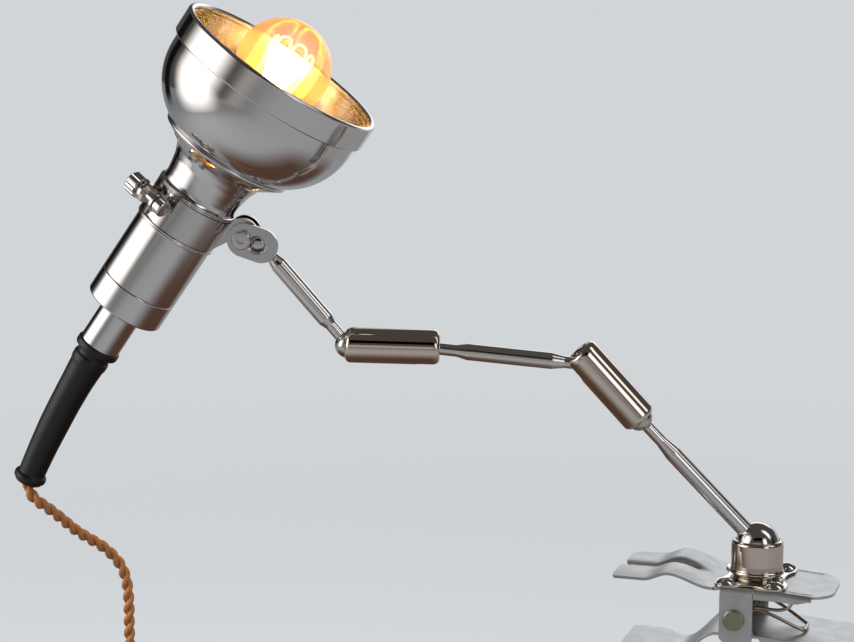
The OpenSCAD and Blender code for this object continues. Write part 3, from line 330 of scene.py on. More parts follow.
def noise(tree, where, scale, detail=2, **more):
    """Noise from 0 to 1; the scale is in ripples for each millimetre of the coordinates."""
    return add(tree, "TexNoise", {"Vector": where, "Scale": scale, "Detail": detail, **more}).outputs["Fac"]


def millimetres(tree, place):
    """Coordinates in millimetres in a local frame, fixed to the piece."""
    where = add(tree, "TexCoord").outputs["Object"]
    turn = place.to_3x3().normalized().to_euler("XYZ")
    return add(tree, "Mapping", {"Vector": where, "Location": place.to_translation(), "Rotation": turn,
                                 "Scale": (MM, MM, MM)}, vector_type="TEXTURE").outputs["Vector"]


def relief(tree, shader, height, depth_mm, strength):
    bump = add(tree, "Bump", {"Height": height, "Distance": depth_mm * MM, "Strength": strength})
    tree.links.new(bump.outputs["Normal"], shader.inputs["Normal"])


def ranged(tree, value, low, high, start=0.0, end=1.0, kind="LINEAR"):
    """Carries a value that runs from start to end over to low and high."""
    return add(tree, "MapRange", {"Value": value, "From Min": start, "From Max": end, "To Min": low,
                                  "To Max": high}, interpolation_type=kind).outputs["Result"]


def blend(tree, factor, first, second, mode="MIX"):
    """Mixes two colours; the node's colour sockets are numbers 6 and 7, and its colour result is number 2."""
    return add(tree, "Mix", {0: factor, 6: first, 7: second}, data_type="RGBA", blend_type=mode).outputs[2]


# %% [markdown]
# ### Metal
# Bare and plated metal is almost all reflection. What tells polished aluminium from nickel is the tint of
# the mirror, how sharp it is, and the traces of how it was made: rings from the lathe, long lines from
# drawing, or the fine speckle of a zinc bath. Handling leaves soft smears, which only change how sharp the
# reflection is. The rings below are drawn a little coarser than real ones, so that they show.

# %% How a turned metal is built up
def lathe_marks(tree, place, pitch_mm):
    """Noise that runs in rings round the local Z axis: it depends on the radius and the height only."""
    x, y, z = split(tree, millimetres(tree, place))
    flat = add(tree, "CombineXYZ", {"X": x, "Y": y}).outputs["Vector"]
    radius = add(tree, "VectorMath", {0: flat}, operation="LENGTH").outputs["Value"]
    ring = add(tree, "CombineXYZ", {"X": radius, "Z": z}).outputs["Vector"]
    return noise(tree, ring, 1 / pitch_mm, 3)


def metal(name, code, roughness, place, marks_mm, depth_mm, smear=0.05):
    material, tree, shader = surface(name, code, Metallic=1.0, Roughness=roughness)
    marks = lathe_marks(tree, place, marks_mm)
    hands = noise(tree, millimetres(tree, place), 0.09, 4, Roughness=0.6)
    both = calc(tree, "MULTIPLY", marks, hands)
    tree.links.new(ranged(tree, both, roughness - smear, roughness + 3 * smear), shader.inputs["Roughness"])
    if depth_mm:
        relief(tree, shader, marks, depth_mm, 0.3)
    return material


# %% Metals of the head and the arm
def polished_aluminium(place):
    # Spun and buffed on the lathe: a clear, slightly soft mirror with faint rings
    return metal("polished_aluminium", "#DAD7D5", 0.11, place, 0.35, 0.002)


def nickel_plate(place):
    # Bright nickel over steel: a hard, clear mirror, a shade warmer than chrome
    return metal("bright_nickel_plate", "#D8D4D0", 0.09, place, 0.3, 0, 0.03)


def satin_nickel(place):
    # The rods are polished along their length only, which leaves the plating a little softer
    return metal("satin_nickel_plate", "#E4E0DC", 0.18, place, 4, 0, 0.02)


def warm_nickel(place):
    # Thick nickel that has aged to a warm, faintly golden mirror
    return metal("warm_nickel_plate", "#DFD3C5", 0.06, place, 0.3, 0, 0.02)


def polished_steel(place):
    # Buffed flat plate: a mirror with the finest haze
    return metal("polished_steel", "#CFCBC9", 0.12, place, 0.4, 0.0015)


def turned_bronze(place):
    return metal("turned_bronze", "#A9763F", 0.32, place, 0.3, 0.004)


def pressed_brass(place):
    return metal("pressed_brass", "#C79F52", 0.24, place, 0.4, 0.003)


def spring_wire(place):
    # Hard-drawn wire, bright; its brown tint is a painted reflection of the brown it mirrors
    return metal("drawn_spring_wire", "#B7A698", 0.17, place, 0.5, 0.002)


def plated_pins(place):
    return metal("nickel_plated_brass", "#CFC8B8", 0.16, place, 0.4, 0.002)


# %% Zinc on the clamp
def zinc_plate(place):
    # Barrel-plated zinc: fine even speckle and no clear mirror, with cloudy patches from the bath
    material, tree, shader = surface("satin_zinc_plate", "#D2D4D5", Metallic=1.0, Roughness=0.42)
    where = millimetres(tree, place)
    speckle = noise(tree, where, 4.5, 5, Roughness=0.7)
    tint = add(tree, "ValToRGB", {"Fac": noise(tree, where, 0.12, 3)})
    dull, bright = tint.color_ramp.elements
    dull.position, dull.color = 0.35, colour("#C8CACB")
    bright.position, bright.color = 0.7, colour("#DBDDDD")
    tree.links.new(tint.outputs["Color"], shader.inputs["Base Color"])
    tree.links.new(ranged(tree, speckle, 0.34, 0.52), shader.inputs["Roughness"])
    relief(tree, shader, speckle, 0.012, 0.6)
    return material


def passivated_zinc(place):
    # The rivet's head keeps the faint green-yellow of its passivation bath
    material, tree, shader = surface("passivated_zinc", "#A2A68F", Metallic=1.0, Roughness=0.36)
    fine = noise(tree, millimetres(tree, place), 2.2, 4)
    tree.links.new(ranged(tree, fine, 0.28, 0.5), shader.inputs["Roughness"])
    relief(tree, shader, fine, 0.01, 0.5)
    return material


# %% [markdown]
# ### Rubber, plastics and porcelain
# These are not metals, so they keep a coloured body under a thin clear reflection. Moulded rubber is matt with
# a fine skin texture. Phenolic plastic is glossy, with a slow marbling from the powder it is pressed from.
# Porcelain has a thick glassy glaze, which is a coat over a rougher white body.

# %% Rubber, plastics and porcelain
def moulded(name, code, roughness, place, grain_mm, depth_mm, mottle=None, **sockets):
    material, tree, shader = surface(name, code, Roughness=roughness, **sockets)
    where = millimetres(tree, place)
    grain = noise(tree, where, 1 / grain_mm, 3)
    tree.links.new(ranged(tree, grain, roughness - 0.06, roughness + 0.1), shader.inputs["Roughness"])
    relief(tree, shader, grain, depth_mm, 0.6)
    if mottle:
        slow = noise(tree, where, 0.16, 6, Distortion=2.5)
        both = blend(tree, ranged(tree, slow, -0.4, 1.3), colour(code), colour(mottle))
        tree.links.new(both, shader.inputs["Base Color"])
    return material


def black_rubber(place):
    return moulded("moulded_black_rubber", "#0B0B0C", 0.42, place, 0.5, 0.02, IOR=1.52)


def brown_phenolic(place):
    return moulded("brown_phenolic_plastic", "#2C1710", 0.2, place, 0.8, 0.002, "#4A2A1C", IOR=1.6,
                   Coat_Weight=0.4, Coat_Roughness=0.08)


def cream_urea(place):
    return moulded("cream_urea_plastic", "#D9CBA6", 0.24, place, 0.8, 0.002, "#CDBD94", IOR=1.55,
                   Coat_Weight=0.3, Coat_Roughness=0.1)


def black_plastic(place):
    return moulded("black_moulded_plastic", "#161616", 0.38, place, 0.35, 0.008, IOR=1.53)


def wire_jacket(place):
    return moulded("wire_jacket", "#5A3420", 0.5, place, 0.4, 0.006, IOR=1.5)


def glazed_porcelain(place):
    return moulded("glazed_porcelain", "#EAE7DF", 0.45, place, 1.2, 0.01, IOR=1.5, Coat_Weight=1.0,
                   Coat_Roughness=0.06)


# %% [markdown]
# ### The lit bulb
# The globe is thin amber glass. Real glass this thin hardly bends light, so the wall is drawn as a tinted
# see-through skin with a clear reflection, which also lets the filament's light out without noise. The glass
# glows a little of its own where it is lit from close by. The filament is so hot that a camera sees it as
# plain white with a yellow edge.

# %% Glass and filament
def amber_glass(place, low, high):
    material, tree, shader = surface("amber_bulb_glass", "#FFB568", Roughness=0.03, IOR=1.5, Alpha=0.3,
                                     Transmission_Weight=1.0)
    height = split(tree, millimetres(tree, place))["Z"]
    ramp = add(tree, "ValToRGB", {"Fac": ranged(tree, height, 0.0, 1.0, low, high)})
    stops = ramp.color_ramp.elements
    stops[0].color, stops[1].color = colour("#FFC27A"), colour("#F08A2C")
    stops.new(0.6).color = colour("#FFAA4C")
    tree.links.new(ramp.outputs["Color"], shader.inputs["Emission Color"])
    shader.inputs["Emission Strength"].default_value = 0.34
    edge = add(tree, "LayerWeight", {"Blend": 0.35}).outputs["Facing"]
    tree.links.new(ranged(tree, edge, 0.14, 0.7), shader.inputs["Alpha"])
    return material


def hot_filament(place):
    material, tree, shader = surface("hot_tungsten_filament", "#FFD9A0", Roughness=0.5, Metallic=1.0)
    uneven = noise(tree, millimetres(tree, place), 1.5)
    tree.links.new(ranged(tree, uneven, 9.0, 15.0), shader.inputs["Emission Strength"])
    shader.inputs["Emission Color"].default_value = colour("#FFDE9C")
    return material


# %% [markdown]
# ### Woven cord
# The cord is two cloth-covered wires twisted together. Each strand carries its own map: one direction counts
# millimetres along the strand and the other goes round it. Two sets of slanting threads that cross in that
# map give the braid, and a slower tone gives the rust and ochre shades of the yarn.

# %% Cloth-covered cord
def cloth_cord():
    material, tree, shader = surface("cloth_covered_cord", "#8A4A24", Roughness=0.85, IOR=1.45,
                                     Sheen_Weight=0.35, Sheen_Roughness=0.5)
    shader.inputs["Sheen Tint"].default_value = colour("#D9A070")
    strand = split(tree, add(tree, "UVMap", uv_map="strand").outputs["UV"])
    thread_mm, threads_round, threads = 1.5, 6, []
    for turns in (threads_round, -threads_round):
        slant = calc(tree, "MULTIPLY", strand["Y"], 2 * math.pi * turns)
        run = calc(tree, "MULTIPLY", strand["X"], 2 * math.pi / thread_mm)
        wave = calc(tree, "SINE", calc(tree, "ADD", slant, run))
        threads.append(calc(tree, "ABSOLUTE", wave))
    weave = calc(tree, "MULTIPLY", *threads)
    yarn = noise(tree, millimetres(tree, row), 0.7, 4)
    dark = blend(tree, weave, colour("#94592F"), colour("#F0BE88"))
    tree.links.new(blend(tree, yarn, dark, colour("#D79A5B"), "SOFT_LIGHT"), shader.inputs["Base Color"])
    relief(tree, shader, weave, 0.12, 0.8)
    return material


# %% [markdown]
# ## The cord
# The cord leaves the head through a rubber boot, slopes down and then hangs straight to its switch. Below
# that, out of the picture, the spare length is wound into a coil and tied, and the plug hangs under it. The
# route is a list of points that the cord passes through. A smooth curve is laid through them, one point for
# each millimetre, because a twisted pair needs short steps.

# %% Route of the cord, in millimetres
boot_len, boot_bend, boot_curve, tube_end, cord_in_boot = 85, 8, 1.9, -83.55, 12
drop_x, drop_y, switch_top, switch_bottom = -269, -59, -62, -124
cord_r, bend_r, loop_r, loop_step, loops, rings = 3.1, 27, 46, 6.7, 6, 24
coil_top = switch_bottom - 8 - bend_r
coil_start_x = drop_x + bend_r + cord_r
coil_x, coil_z = coil_start_x + 2 * cord_r, coil_top - loop_r
tail_x, tail_y, plug_top = coil_x + loop_r, drop_y + loop_step, coil_z - 34
lead_points = [(-300, -103, 37), (-296, -97, 31), (-292, -90, 24), (-288, -82, 16), (-284, -75, 10),
               (-280, -69, 5), (-276, -64, -1), (-272, -61, -8), (-270, -59, -17), (-269, -59, -28),
               (-269, -59, -41), (-269, -59, -52)]


def boot_axis(s):
    return Vector((-boot_bend * (max(s, 0) / boot_len) ** boot_curve, 0, tube_end - s))


def coil_point(i, steps=rings * loops + rings // 4, inward=loop_step * (loops + 0.25) / 2):
    turn = math.radians(90 - 360 * i / rings)
    r = loop_r - inward * (1 - abs(2 * i / steps - 1))
    climb = max(0, min(1, (i - steps / 2 + rings / 4) / (rings / 2)))
    y = drop_y + loop_step * (1 - math.cos(math.pi * climb)) / 2
    return coil_x + r * math.cos(turn), y, coil_z + r * math.sin(turn)


bend_points = [(x, drop_y, z) for x, z in arc((drop_x + bend_r, coil_top + bend_r), bend_r, 180, 270, 5)]
hanging = [*lead_points, (drop_x, drop_y, switch_top), (drop_x, drop_y, switch_bottom),
           (drop_x, drop_y, switch_bottom - 4), *bend_points, (coil_start_x, drop_y, coil_top)]
wound = [coil_point(i) for i in range(rings * loops + rings // 4 + 1)]
tail = [(tail_x, tail_y, coil_z - 2 * cord_r), (tail_x, tail_y, plug_top)]
route = [head @ boot_axis(boot_len - cord_in_boot), head @ boot_axis(boot_len)]
route += [row @ Vector(p) for p in [*hanging, *wound, *tail]]
print("route points", len(route))


# %% A smooth curve through points
def flowing(points, step):
    ahead = [(q - p).normalized() for p, q in zip(points, points[1:])]
    along = [ahead[0], *[(a + b).normalized() for a, b in zip(ahead, ahead[1:])], ahead[-1]]
    curve = []
    for p, q, m, n in zip(points, points[1:], along, along[1:]):
        span = (q - p).length
        count = max(1, round(span / step))
        for k in range(count):
            t = k / count
            curve.append(p * (2 * t**3 - 3 * t**2 + 1) + m * span * (t**3 - 2 * t**2 + t)
                         + q * (3 * t**2 - 2 * t**3) + n * span * (t**3 - t**2))
    return [*curve, points[-1]]


# %% [markdown]
# A wire, a spring and a strand of the cord are all the same kind of shape: a round section carried along a
# line without twisting. The section's map is kept too, with the distance along the line in millimetres and
# the share of the way round, so that woven threads can follow the strand.

# %% A round section carried along a line
def carried(path):
    ahead = [(path[min(i + 1, len(path) - 1)] - path[max(i - 1, 0)]).normalized() for i in range(len(path))]
    side, frames = ahead[0].orthogonal().normalized(), []
    for a in ahead:
        side = (side - side.dot(a) * a).normalized()
        frames.append((side, a.cross(side)))
    return frames


# %% A wire with its own map
def wire(name, path, radius, sides=12):
    """A round wire along a path; the map counts millimetres along it and shares of a turn round it."""
    turns = [(math.cos(2 * math.pi * j / sides), math.sin(2 * math.pi * j / sides)) for j in range(sides)]
    points = [p + radius * (c * side + s * up) for p, (side, up) in zip(path, carried(path)) for c, s in turns]
    walked = [0.0]
    for p, q in zip(path, path[1:]):
        walked.append(walked[-1] + (q - p).length / MM)
    faces, maps = [], []
    for i in range(len(path) - 1):
        for j in range(sides):
            k = (j + 1) % sides
            faces.append((i * sides + j, i * sides + k, (i + 1) * sides + k, (i + 1) * sides + j))
            maps += [walked[i], j / sides, walked[i], (j + 1) / sides,
                     walked[i + 1], (j + 1) / sides, walked[i + 1], j / sides]
    last = (len(path) - 1) * sides
    faces += [tuple(reversed(range(sides))), tuple(range(last, last + sides))]
    maps += [walked[0], 0.0] * sides + [walked[-1], 0.0] * sides
    mesh = bpy.data.meshes.new(name)
    mesh.from_pydata(points, [], faces)
    mesh.uv_layers.new(name="strand").data.foreach_set("uv", maps)
    mesh.polygons.foreach_set("use_smooth", [True] * len(faces))
    return linked(name, mesh)


def joined(name, *parts):
    pick(*parts)
    bpy.ops.object.join()
    piece = bpy.context.object
    piece.name = name
    return piece


# %% Twist two strands into the cord
strand_r, strand_offset, twist_pitch = 1.62, 1.53, 13.4
centre_line = flowing(route, 1.0 * MM)
distance, strands = 0.0, ([], [])
for i, (p, (side, up)) in enumerate(zip(centre_line, carried(centre_line))):
    distance += (p - centre_line[i - 1]).length / MM if i else 0
    turn = 2 * math.pi * distance / twist_pitch
    out = strand_offset * MM * (math.cos(turn) * side + math.sin(turn) * up)
    strands[0].append(p + out)
    strands[1].append(p - out)
cord = joined("cord", *[wire(f"strand_{n}", path, strand_r * MM, 10) for n, path in enumerate(strands)])


# %% [markdown]
# ## Post, base ball and rods
# The post is a bell of thick nickel-plated metal on a flange with four lobes. It is turned, so its outline is
# spun in the post's own frame, whose origin is the middle of the base ball. The rods taper to thin necks at
# their ends, and each neck ends in a stud on which its ball turns.

# %% Bell-shaped housing and its flange
flange_z, ball_r, base_ball_r = -16.75, 6.7, 11.1
bell_bore, bell_r, bell_lip = 11.4, 13.2, 2.2


def bell_housing():
    outline = [(bell_bore, flange_z), (bell_r - 1.3, flange_z), (bell_r - 1.0, flange_z + 0.9)]
    outline += arc((bell_r - 0.7, flange_z + 2.7), 1.5, -62, 50, 10)
    outline += [(bell_r + 0.15, flange_z + 4.6), (bell_r, flange_z + 6.5), (bell_r, bell_lip - 1.9)]
    outline += arc((bell_r - 1.9, bell_lip - 1.9), 1.9, 8, 82, 8)
    outline += [(bell_bore - 0.1, bell_lip), (bell_bore, 0)]
    return turned("bell_housing_finished", outline, post, closed=True, edge=0.25)


post_nickel = nickel_plate(post)
settle(bell_housing(), warm_nickel(post), "bell_housing")
dressed("foot_flange", post_nickel, 0.35, 3)
print("bell housing and flange made")


# %% Four domed screws
screw_x, screw_y, dome_r = 12.5, 19.75, 5.68


def domed_screw(x, y):
    dome = arc((0, flange_z - 2.9), dome_r, 90, 30, 12)
    outline = [*dome, (4.9, flange_z), (2, flange_z), (2, flange_z - 4), (0, flange_z - 4)]
    return turned("domed_screw", outline[::-1], post @ Matrix.Translation((x, y, 0)), steps=64, edge=0.15)


screws = [domed_screw(x, y) for x in (-screw_x, screw_x) for y in (-screw_y, screw_y)]
settle(joined("flange_screws_finished", *screws), post_nickel, "flange_screws")
print("screws", len(screws))


# %% Outlines of balls and rod ends
rod_r, rod_neck_r, stud_r, neck_ball_r = 4.25, 3.05, 1.9, 6.2
lower_len, middle_len, upper_len = 90, 87.4, 68.6


def flat_of(ball):
    return math.sqrt(ball**2 - rod_neck_r**2)


def rod_ball(name, place, r, side):
    """A ball with a flat and a bore for its rod's stud; the rod leaves along the frame's Z or against it."""
    flat, bore = flat_of(r), stud_r + 0.05
    outline = arc((0, 0), r, -90, math.degrees(math.asin(flat / r)), 40)
    outline = [(x, side * z) for x, z in outline + [(bore, flat), (bore, -1.1), (0, -1.1)]]
    return turned(name, outline, place, steps=96, edge=0.1)


def base_ball():
    bore = rod_r + 0.05
    top = math.degrees(math.acos(bore / base_ball_r))
    outline = arc((0, 0), base_ball_r, -90, top, 48) + [(bore, 4.1), (0, 4.1)]
    return turned("base_ball_finished", outline, lower_rod_place, edge=0.2)


def rod_end(ball, neck, cone):
    """Outline of a rod's end, from the ball's middle outwards: stud, thin neck and cone."""
    flat = flat_of(ball) + 0.1
    return [(0, -1), (stud_r, -1), (stud_r, flat), (rod_neck_r, flat), (rod_neck_r, neck), (rod_r, neck + cone)]


def far_end(length, *sizes):
    return [(x, length - z) for x, z in rod_end(*sizes)[::-1]]


def up_by(place, distance):
    return place @ Matrix.Translation((0, 0, distance))


# %% The three rods and their balls
settle(base_ball(), nickel_plate(lower_rod_place), "base_ball")
rods = {
    "lower_rod": (lower_rod_place, [(0, 4.2), (rod_r, 4.2)] + far_end(lower_len, ball_r, 16.7, 8.7)),
    "middle_rod": (middle_rod_place, rod_end(ball_r, 14, 6.5) + far_end(middle_len, ball_r, 18.6, 5.5)),
    "upper_rod": (upper_rod_place, rod_end(ball_r, 13.5, 3.8) + far_end(upper_len, neck_ball_r, 10.6, 4.5)),
}
for node, (place, outline) in rods.items():
    settle(turned(node + "_finished", outline, place, steps=96, edge=0.5), satin_nickel(place), node)
rod_balls = {
    "lower_rod_ball": (up_by(lower_rod_place, lower_len), ball_r, -1),
    "middle_rod_low_ball": (middle_rod_place, ball_r, 1),
    "middle_rod_high_ball": (up_by(middle_rod_place, middle_len), ball_r, -1),
    "upper_rod_low_ball": (upper_rod_place, ball_r, 1),
    "upper_rod_high_ball": (up_by(upper_rod_place, upper_len), neck_ball_r, -1),
}
for node, (place, r, side) in rod_balls.items():
    settle(rod_ball(node + "_finished", place, r, side), polished_steel(place), node)
print("rods", len(rods), "balls", len(rod_balls) + 1)


# %% [markdown]
# ## Couplings
# A coupling is a tube that holds two balls against bronze seats with a spring between them. Its mouth is
# crimped over one ball and its nose narrows over the other. Each end has a slot with a round bottom, in which
# the rod can swing further out. The slots are cut with a block and a round bar.

# %% Coupling sleeves
coupling_len, slot_w, lip_len, lip_in, nose_in = 36.5, 7, 1.4, 6.6, 5.1


def sleeve(name, place, nose_turn, mouth_turn):
    lip = coupling_len + lip_len
    nose = [(nose_in, -9.8), (6.2, -10), (7.6, -9.6), (8.6, -8.5), (9, -6.8)]
    mouth = [(9, coupling_len - 0.8), (8.5, coupling_len + 0.3), (lip_in + 0.7, lip), (lip_in, lip)]
    outline = [*nose, *mouth, (7.1, coupling_len), (7.1, 0), (7, -1.5), (nose_in, -7)]
    piece = turned(name, outline, None, closed=True, edge=0.5)
    for angle, start, end in ((nose_turn, 0, -12), (mouth_turn, coupling_len, coupling_len + 5)):
        turn = Matrix.Rotation(math.radians(angle), 4, "Z")
        lying = turn @ Matrix.Rotation(math.pi / 2, 4, "Y")
        block = bar("block", (10, slot_w, abs(end - start)), turn @ Vector((6, 0, (start + end) / 2)), turn)
        cut(piece, block, pin("bore", slot_w / 2, 10, turn @ Vector((6, 0, start)), lying))
    break_edges(piece, 0.25)
    return put(piece, place)


settle(sleeve("lower_sleeve_finished", low_coupling, 0, 90), warm_nickel(low_coupling), "lower_sleeve")
settle(sleeve("upper_sleeve_finished", high_coupling, 0, 180), warm_nickel(high_coupling), "upper_sleeve")
print("couplings made")


# %% [markdown]
# ## The head
# The shade is five spun rings and shells on one axis: a thick rim, a bowl, a bead, a flared neck with vents,
# and the lamp holder's body. Each gets its own outline with its real wall, so that the bowl's edge and the
# inside of the vents look right as well. The heights are measured from the middle of the strap.

# %% Rim ring, bowl and bead
rim_r, rim_z, collar_h, rim_roll, bowl_r, bowl_top, bowl_wall = 54, 89.8, 13.5, 1.6, 51.8, 86.8, 1.2
shoulder_z, bowl_foot_z, bowl_foot_r, throat_r = 70.3, 39, 34.1, 24
bowl_drop, bowl_run = shoulder_z - bowl_foot_z, bowl_r - bowl_foot_r
bowl_arc_r = (bowl_drop**2 + bowl_run**2) / (2 * bowl_run)
bowl_arc_end = math.degrees(math.asin(bowl_drop / bowl_arc_r))
bowl_centre = (bowl_r - bowl_arc_r, shoulder_z)


def rim_ring():
    low = rim_z - collar_h
    outline = [(bowl_r + 0.1, low), (rim_r - 0.4, low), (rim_r, low + 0.5)]
    outline += arc((rim_r - rim_roll, rim_z - rim_roll), rim_roll, 0, 180, 20)
    outline += [(rim_r - 2 * rim_roll, bowl_top + 0.1), (bowl_r + 0.1, bowl_top + 0.1)]
    return turned("rim_ring_finished", outline, head, steps=192, closed=True, edge=0.2)


def shade_bowl():
    inner = arc(bowl_centre, bowl_arc_r - bowl_wall, 0, -bowl_arc_end, 44)
    outer = arc(bowl_centre, bowl_arc_r, -bowl_arc_end, 0, 44)
    outline = [(bowl_r, bowl_top), (bowl_r - bowl_wall, bowl_top), *inner, (throat_r, bowl_foot_z + bowl_wall),
               (throat_r, bowl_foot_z), *outer]
    return turned("shade_bowl_finished", outline, head, steps=192, closed=True, edge=0.2)


def bead_ring():
    roll = 1.05
    outline = [(30.6, bowl_foot_z - 2 * roll), *arc((34.6 - roll, bowl_foot_z - roll), roll, -90, 90, 12),
               (30.6, bowl_foot_z)]
    return turned("bead_ring_finished", outline, head, steps=192, closed=True, edge=0.1)


head_aluminium = polished_aluminium(head)
for piece, node in ((rim_ring(), "rim_ring"), (bead_ring(), "bead_ring"), (shade_bowl(), "shade_bowl")):
    settle(piece, head_aluminium, node)
print("shade made")


# %% Flared neck with its vents
vents, first_vent, vent_w, vent_len = 7, 78, 4.4, 15


def slot_cutter(width, length, depth, place, sides=32):
    """A round-ended slot: a round bar whose two halves are moved apart."""
    tool = pin("slot", width / 2, depth, turn=Matrix.Rotation(math.pi / sides, 4, "Z"), sides=sides)
    for vertex in tool.data.vertices:
        vertex.co.y += math.copysign((length - width) / 2, vertex.co.y)
    tool.data.transform(place)
    return tool


def vented_neck():
    neck_top, top_r, flare_r, flare_z, waist_r, waist_z = 36.8, 33.6, 24.6, 30.4, 20, 14.2
    low, bead_out, wall = 9, 21.6, bowl_wall
    outside = [(top_r, neck_top), (flare_r, flare_z), (23.2, flare_z - 2.4), (21.6, flare_z - 6.4),
               (waist_r + 0.5, waist_z + 4), (waist_r, waist_z), (waist_r + 0.3, low + 3.2)]
    bead = [(waist_r + 0.9, low + 2.2), *arc((bead_out - 0.55, low + 1.55), 0.55, 80, -50, 6),
            (bead_out - 0.55, low + 0.98), *arc((bead_out - 0.45, low + 0.45), 0.45, 60, -70, 5)]
    inside = [(waist_r - wall, low), (waist_r - wall, waist_z), (waist_r + 0.5 - wall, waist_z + 4),
              (21.6 - wall, flare_z - 6.4), (23.2 - wall, flare_z - 2.4), (flare_r - wall, flare_z + 1),
              (32.2, neck_top)]
    piece = turned("vented_neck_finished", outside + bead + inside, None, steps=192, closed=True, edge=0.8)
    lean = math.atan2(neck_top - flare_z, top_r - flare_r)
    mid = Matrix.Translation(((top_r + flare_r) / 2, 0, (neck_top + flare_z) / 2))
    for i in range(vents):
        turn = Matrix.Rotation(math.radians(first_vent + 360 * i / vents), 4, "Z")
        cut(piece, slot_cutter(vent_w, vent_len, 10, turn @ mid @ Matrix.Rotation(-lean, 4, "Y")))
    break_edges(piece, 0.15)
    return put(piece, head)


settle(vented_neck(), head_aluminium, "vented_neck")
print("vents cut", vents)


# %% Lamp holder's body, end cap and cord tube
cap_joint = -45.05


def holder_body():
    top, low = -9.05, cap_joint
    bead = [(21.1, top - 2), *arc((20.95, top - 1.5), 0.65, -40, 40, 5),
            *arc((21.15, top - 0.45), 0.45, -50, 90, 6)]
    outline = [(17.9, low), (20.6, low), (20.6, top - 2.2), *bead, (20, top), (20, 8.9), (18.5, 8.9),
               (18.5, 16.2), (17.9, 16.2)]
    return turned("holder_body_finished", outline, head, steps=160, closed=True, edge=0.25)


def end_cap():
    top, low = cap_joint, -60.05
    outline = [(10.9, low), (20, low), (20.6, low + 0.8), (20.6, top - 0.7), (20.1, top - 0.1),
               (17.8, top - 0.1), (17.8, top + 4), (16.4, top + 4), (16.4, low + 2), (10.9, low + 2)]
    return turned("end_cap_finished", outline, head, steps=160, closed=True, edge=0.3)


def cord_tube():
    low, high = tube_end, -57.95
    outline = [(9.7, low), (10.8, low), (10.8, high), (13.2, high), (13.2, high + 1.5), (9.7, high + 1.5)]
    return turned("cord_tube_finished", outline, head, steps=128, closed=True, edge=0.25)


for piece, node in ((holder_body(), "holder_body"), (end_cap(), "end_cap"), (cord_tube(), "cord_tube")):
    settle(piece, head_aluminium, node)
print("holder body, end cap and cord tube made")


# %% [markdown]
# The rubber boot is spun straight, with its collar rings and its end lip, and is then bent: each point is
# carried from the straight axis to the same place on the curved one. It ends in a bore for the cord.

# %% Rubber boot
def rubber_boot():
    collar = [(0, 10.9), (0.6, 11.6), (3.4, 11.7), (4.2, 11.2), (4.7, 9.2), (5.4, 8.8), (7.2, 8.8), (8.1, 9.6),
              (11.6, 9.6), (12.8, 9.2), (14, 9)]
    sleeve_line = [(24, 8.4), (36, 8.1), (50, 7.9), (62, 7.5), (76, 7.1), (79.5, 7)]
    end_lip = [(80.6, 8.2), (81.6, 8.5), (83.2, 8.4), (84, 7.5), (boot_len, 7)]
    outside = [(r, s) for s, r in collar + sleeve_line + end_lip]
    outline = [(3.5, 1), *outside, (3.5, boot_len), (3.5, 40)]
    piece = turned("rubber_boot_finished", outline, None, steps=96, closed=True, edge=0.5)
    in_edit_mode(piece, lambda: bpy.ops.mesh.subdivide(number_cuts=1))
    for vertex in piece.data.vertices:
        x, y, s = vertex.co
        lean = math.atan(boot_bend * boot_curve * (max(s, 0) / boot_len) ** (boot_curve - 1) / boot_len)
        vertex.co = boot_axis(s) + Vector((x * math.cos(lean), y, -x * math.sin(lean)))
    in_edit_mode(piece, lambda: bpy.ops.mesh.normals_make_consistent(inside=False))
    return put(piece, head)


settle(rubber_boot(), black_rubber(head), "rubber_boot")
print("boot bent by", boot_bend, "mm")


# %% [markdown]
# ## Neck joint
# Two cheek plates grip the ball on the upper rod, and a socket screw and its nut pull them together over the
# strap's ears. The plates and the strap keep their mechanical shape and get softened edges. The screw, the
# bolt, its round nut and the fluted knob are turned, each about its own line across the head.

# %% Cheek plates and strap
def across_head(x, y, z, turn=0):
    """A frame on a line across the head, with Z along the head frame's Y after the turn about its axis."""
    turn_about = Matrix.Rotation(math.radians(turn), 4, "Z")
    return head @ turn_about @ Matrix.Translation((x, y, z)) @ Matrix.Rotation(-math.pi / 2, 4, "X")


ball_x, ball_z, pitch_in_cheek, lean = -38.1, 8.3, 8, math.radians(15)
screw_line = across_head(ball_x + pitch_in_cheek * math.cos(lean), 0, ball_z - pitch_in_cheek * math.sin(lean))
bolt_line = across_head(28, -4, 2, turn=60)
cheek_steel, screw_nickel, bolt_nickel = (polished_steel(screw_line), nickel_plate(screw_line),
                                          nickel_plate(bolt_line))
dressed("near_cheek", cheek_steel, 0.55, 4)
dressed("far_cheek", cheek_steel, 0.45, 3)
dressed("strap_band", polished_steel(head), 0.22)
print("cheek plates and strap finished")


# %% Socket screw and its nut
def cheek_screw():
    out, shank_r, head_r, head_h, socket_r = 7.5, 1.5, 4.7, 3.4, 2.1
    outline = [(0, -out - 3), (shank_r, -out - 3), (shank_r, out), (head_r, out), (head_r, out + head_h - 0.5),
               (head_r - 0.5, out + head_h), (0, out + head_h)]
    piece = turned("cheek_screw_finished", outline, None, steps=96, edge=0.2)
    cut(piece, pin("hexagon", socket_r, 4, (0, 0, out + 3.2), sides=6))
    break_edges(piece, 0.12)
    return put(piece, screw_line)


settle(cheek_screw(), screw_nickel, "cheek_screw")
dressed("cheek_nut", screw_nickel, 0.2)
print("socket screw made")


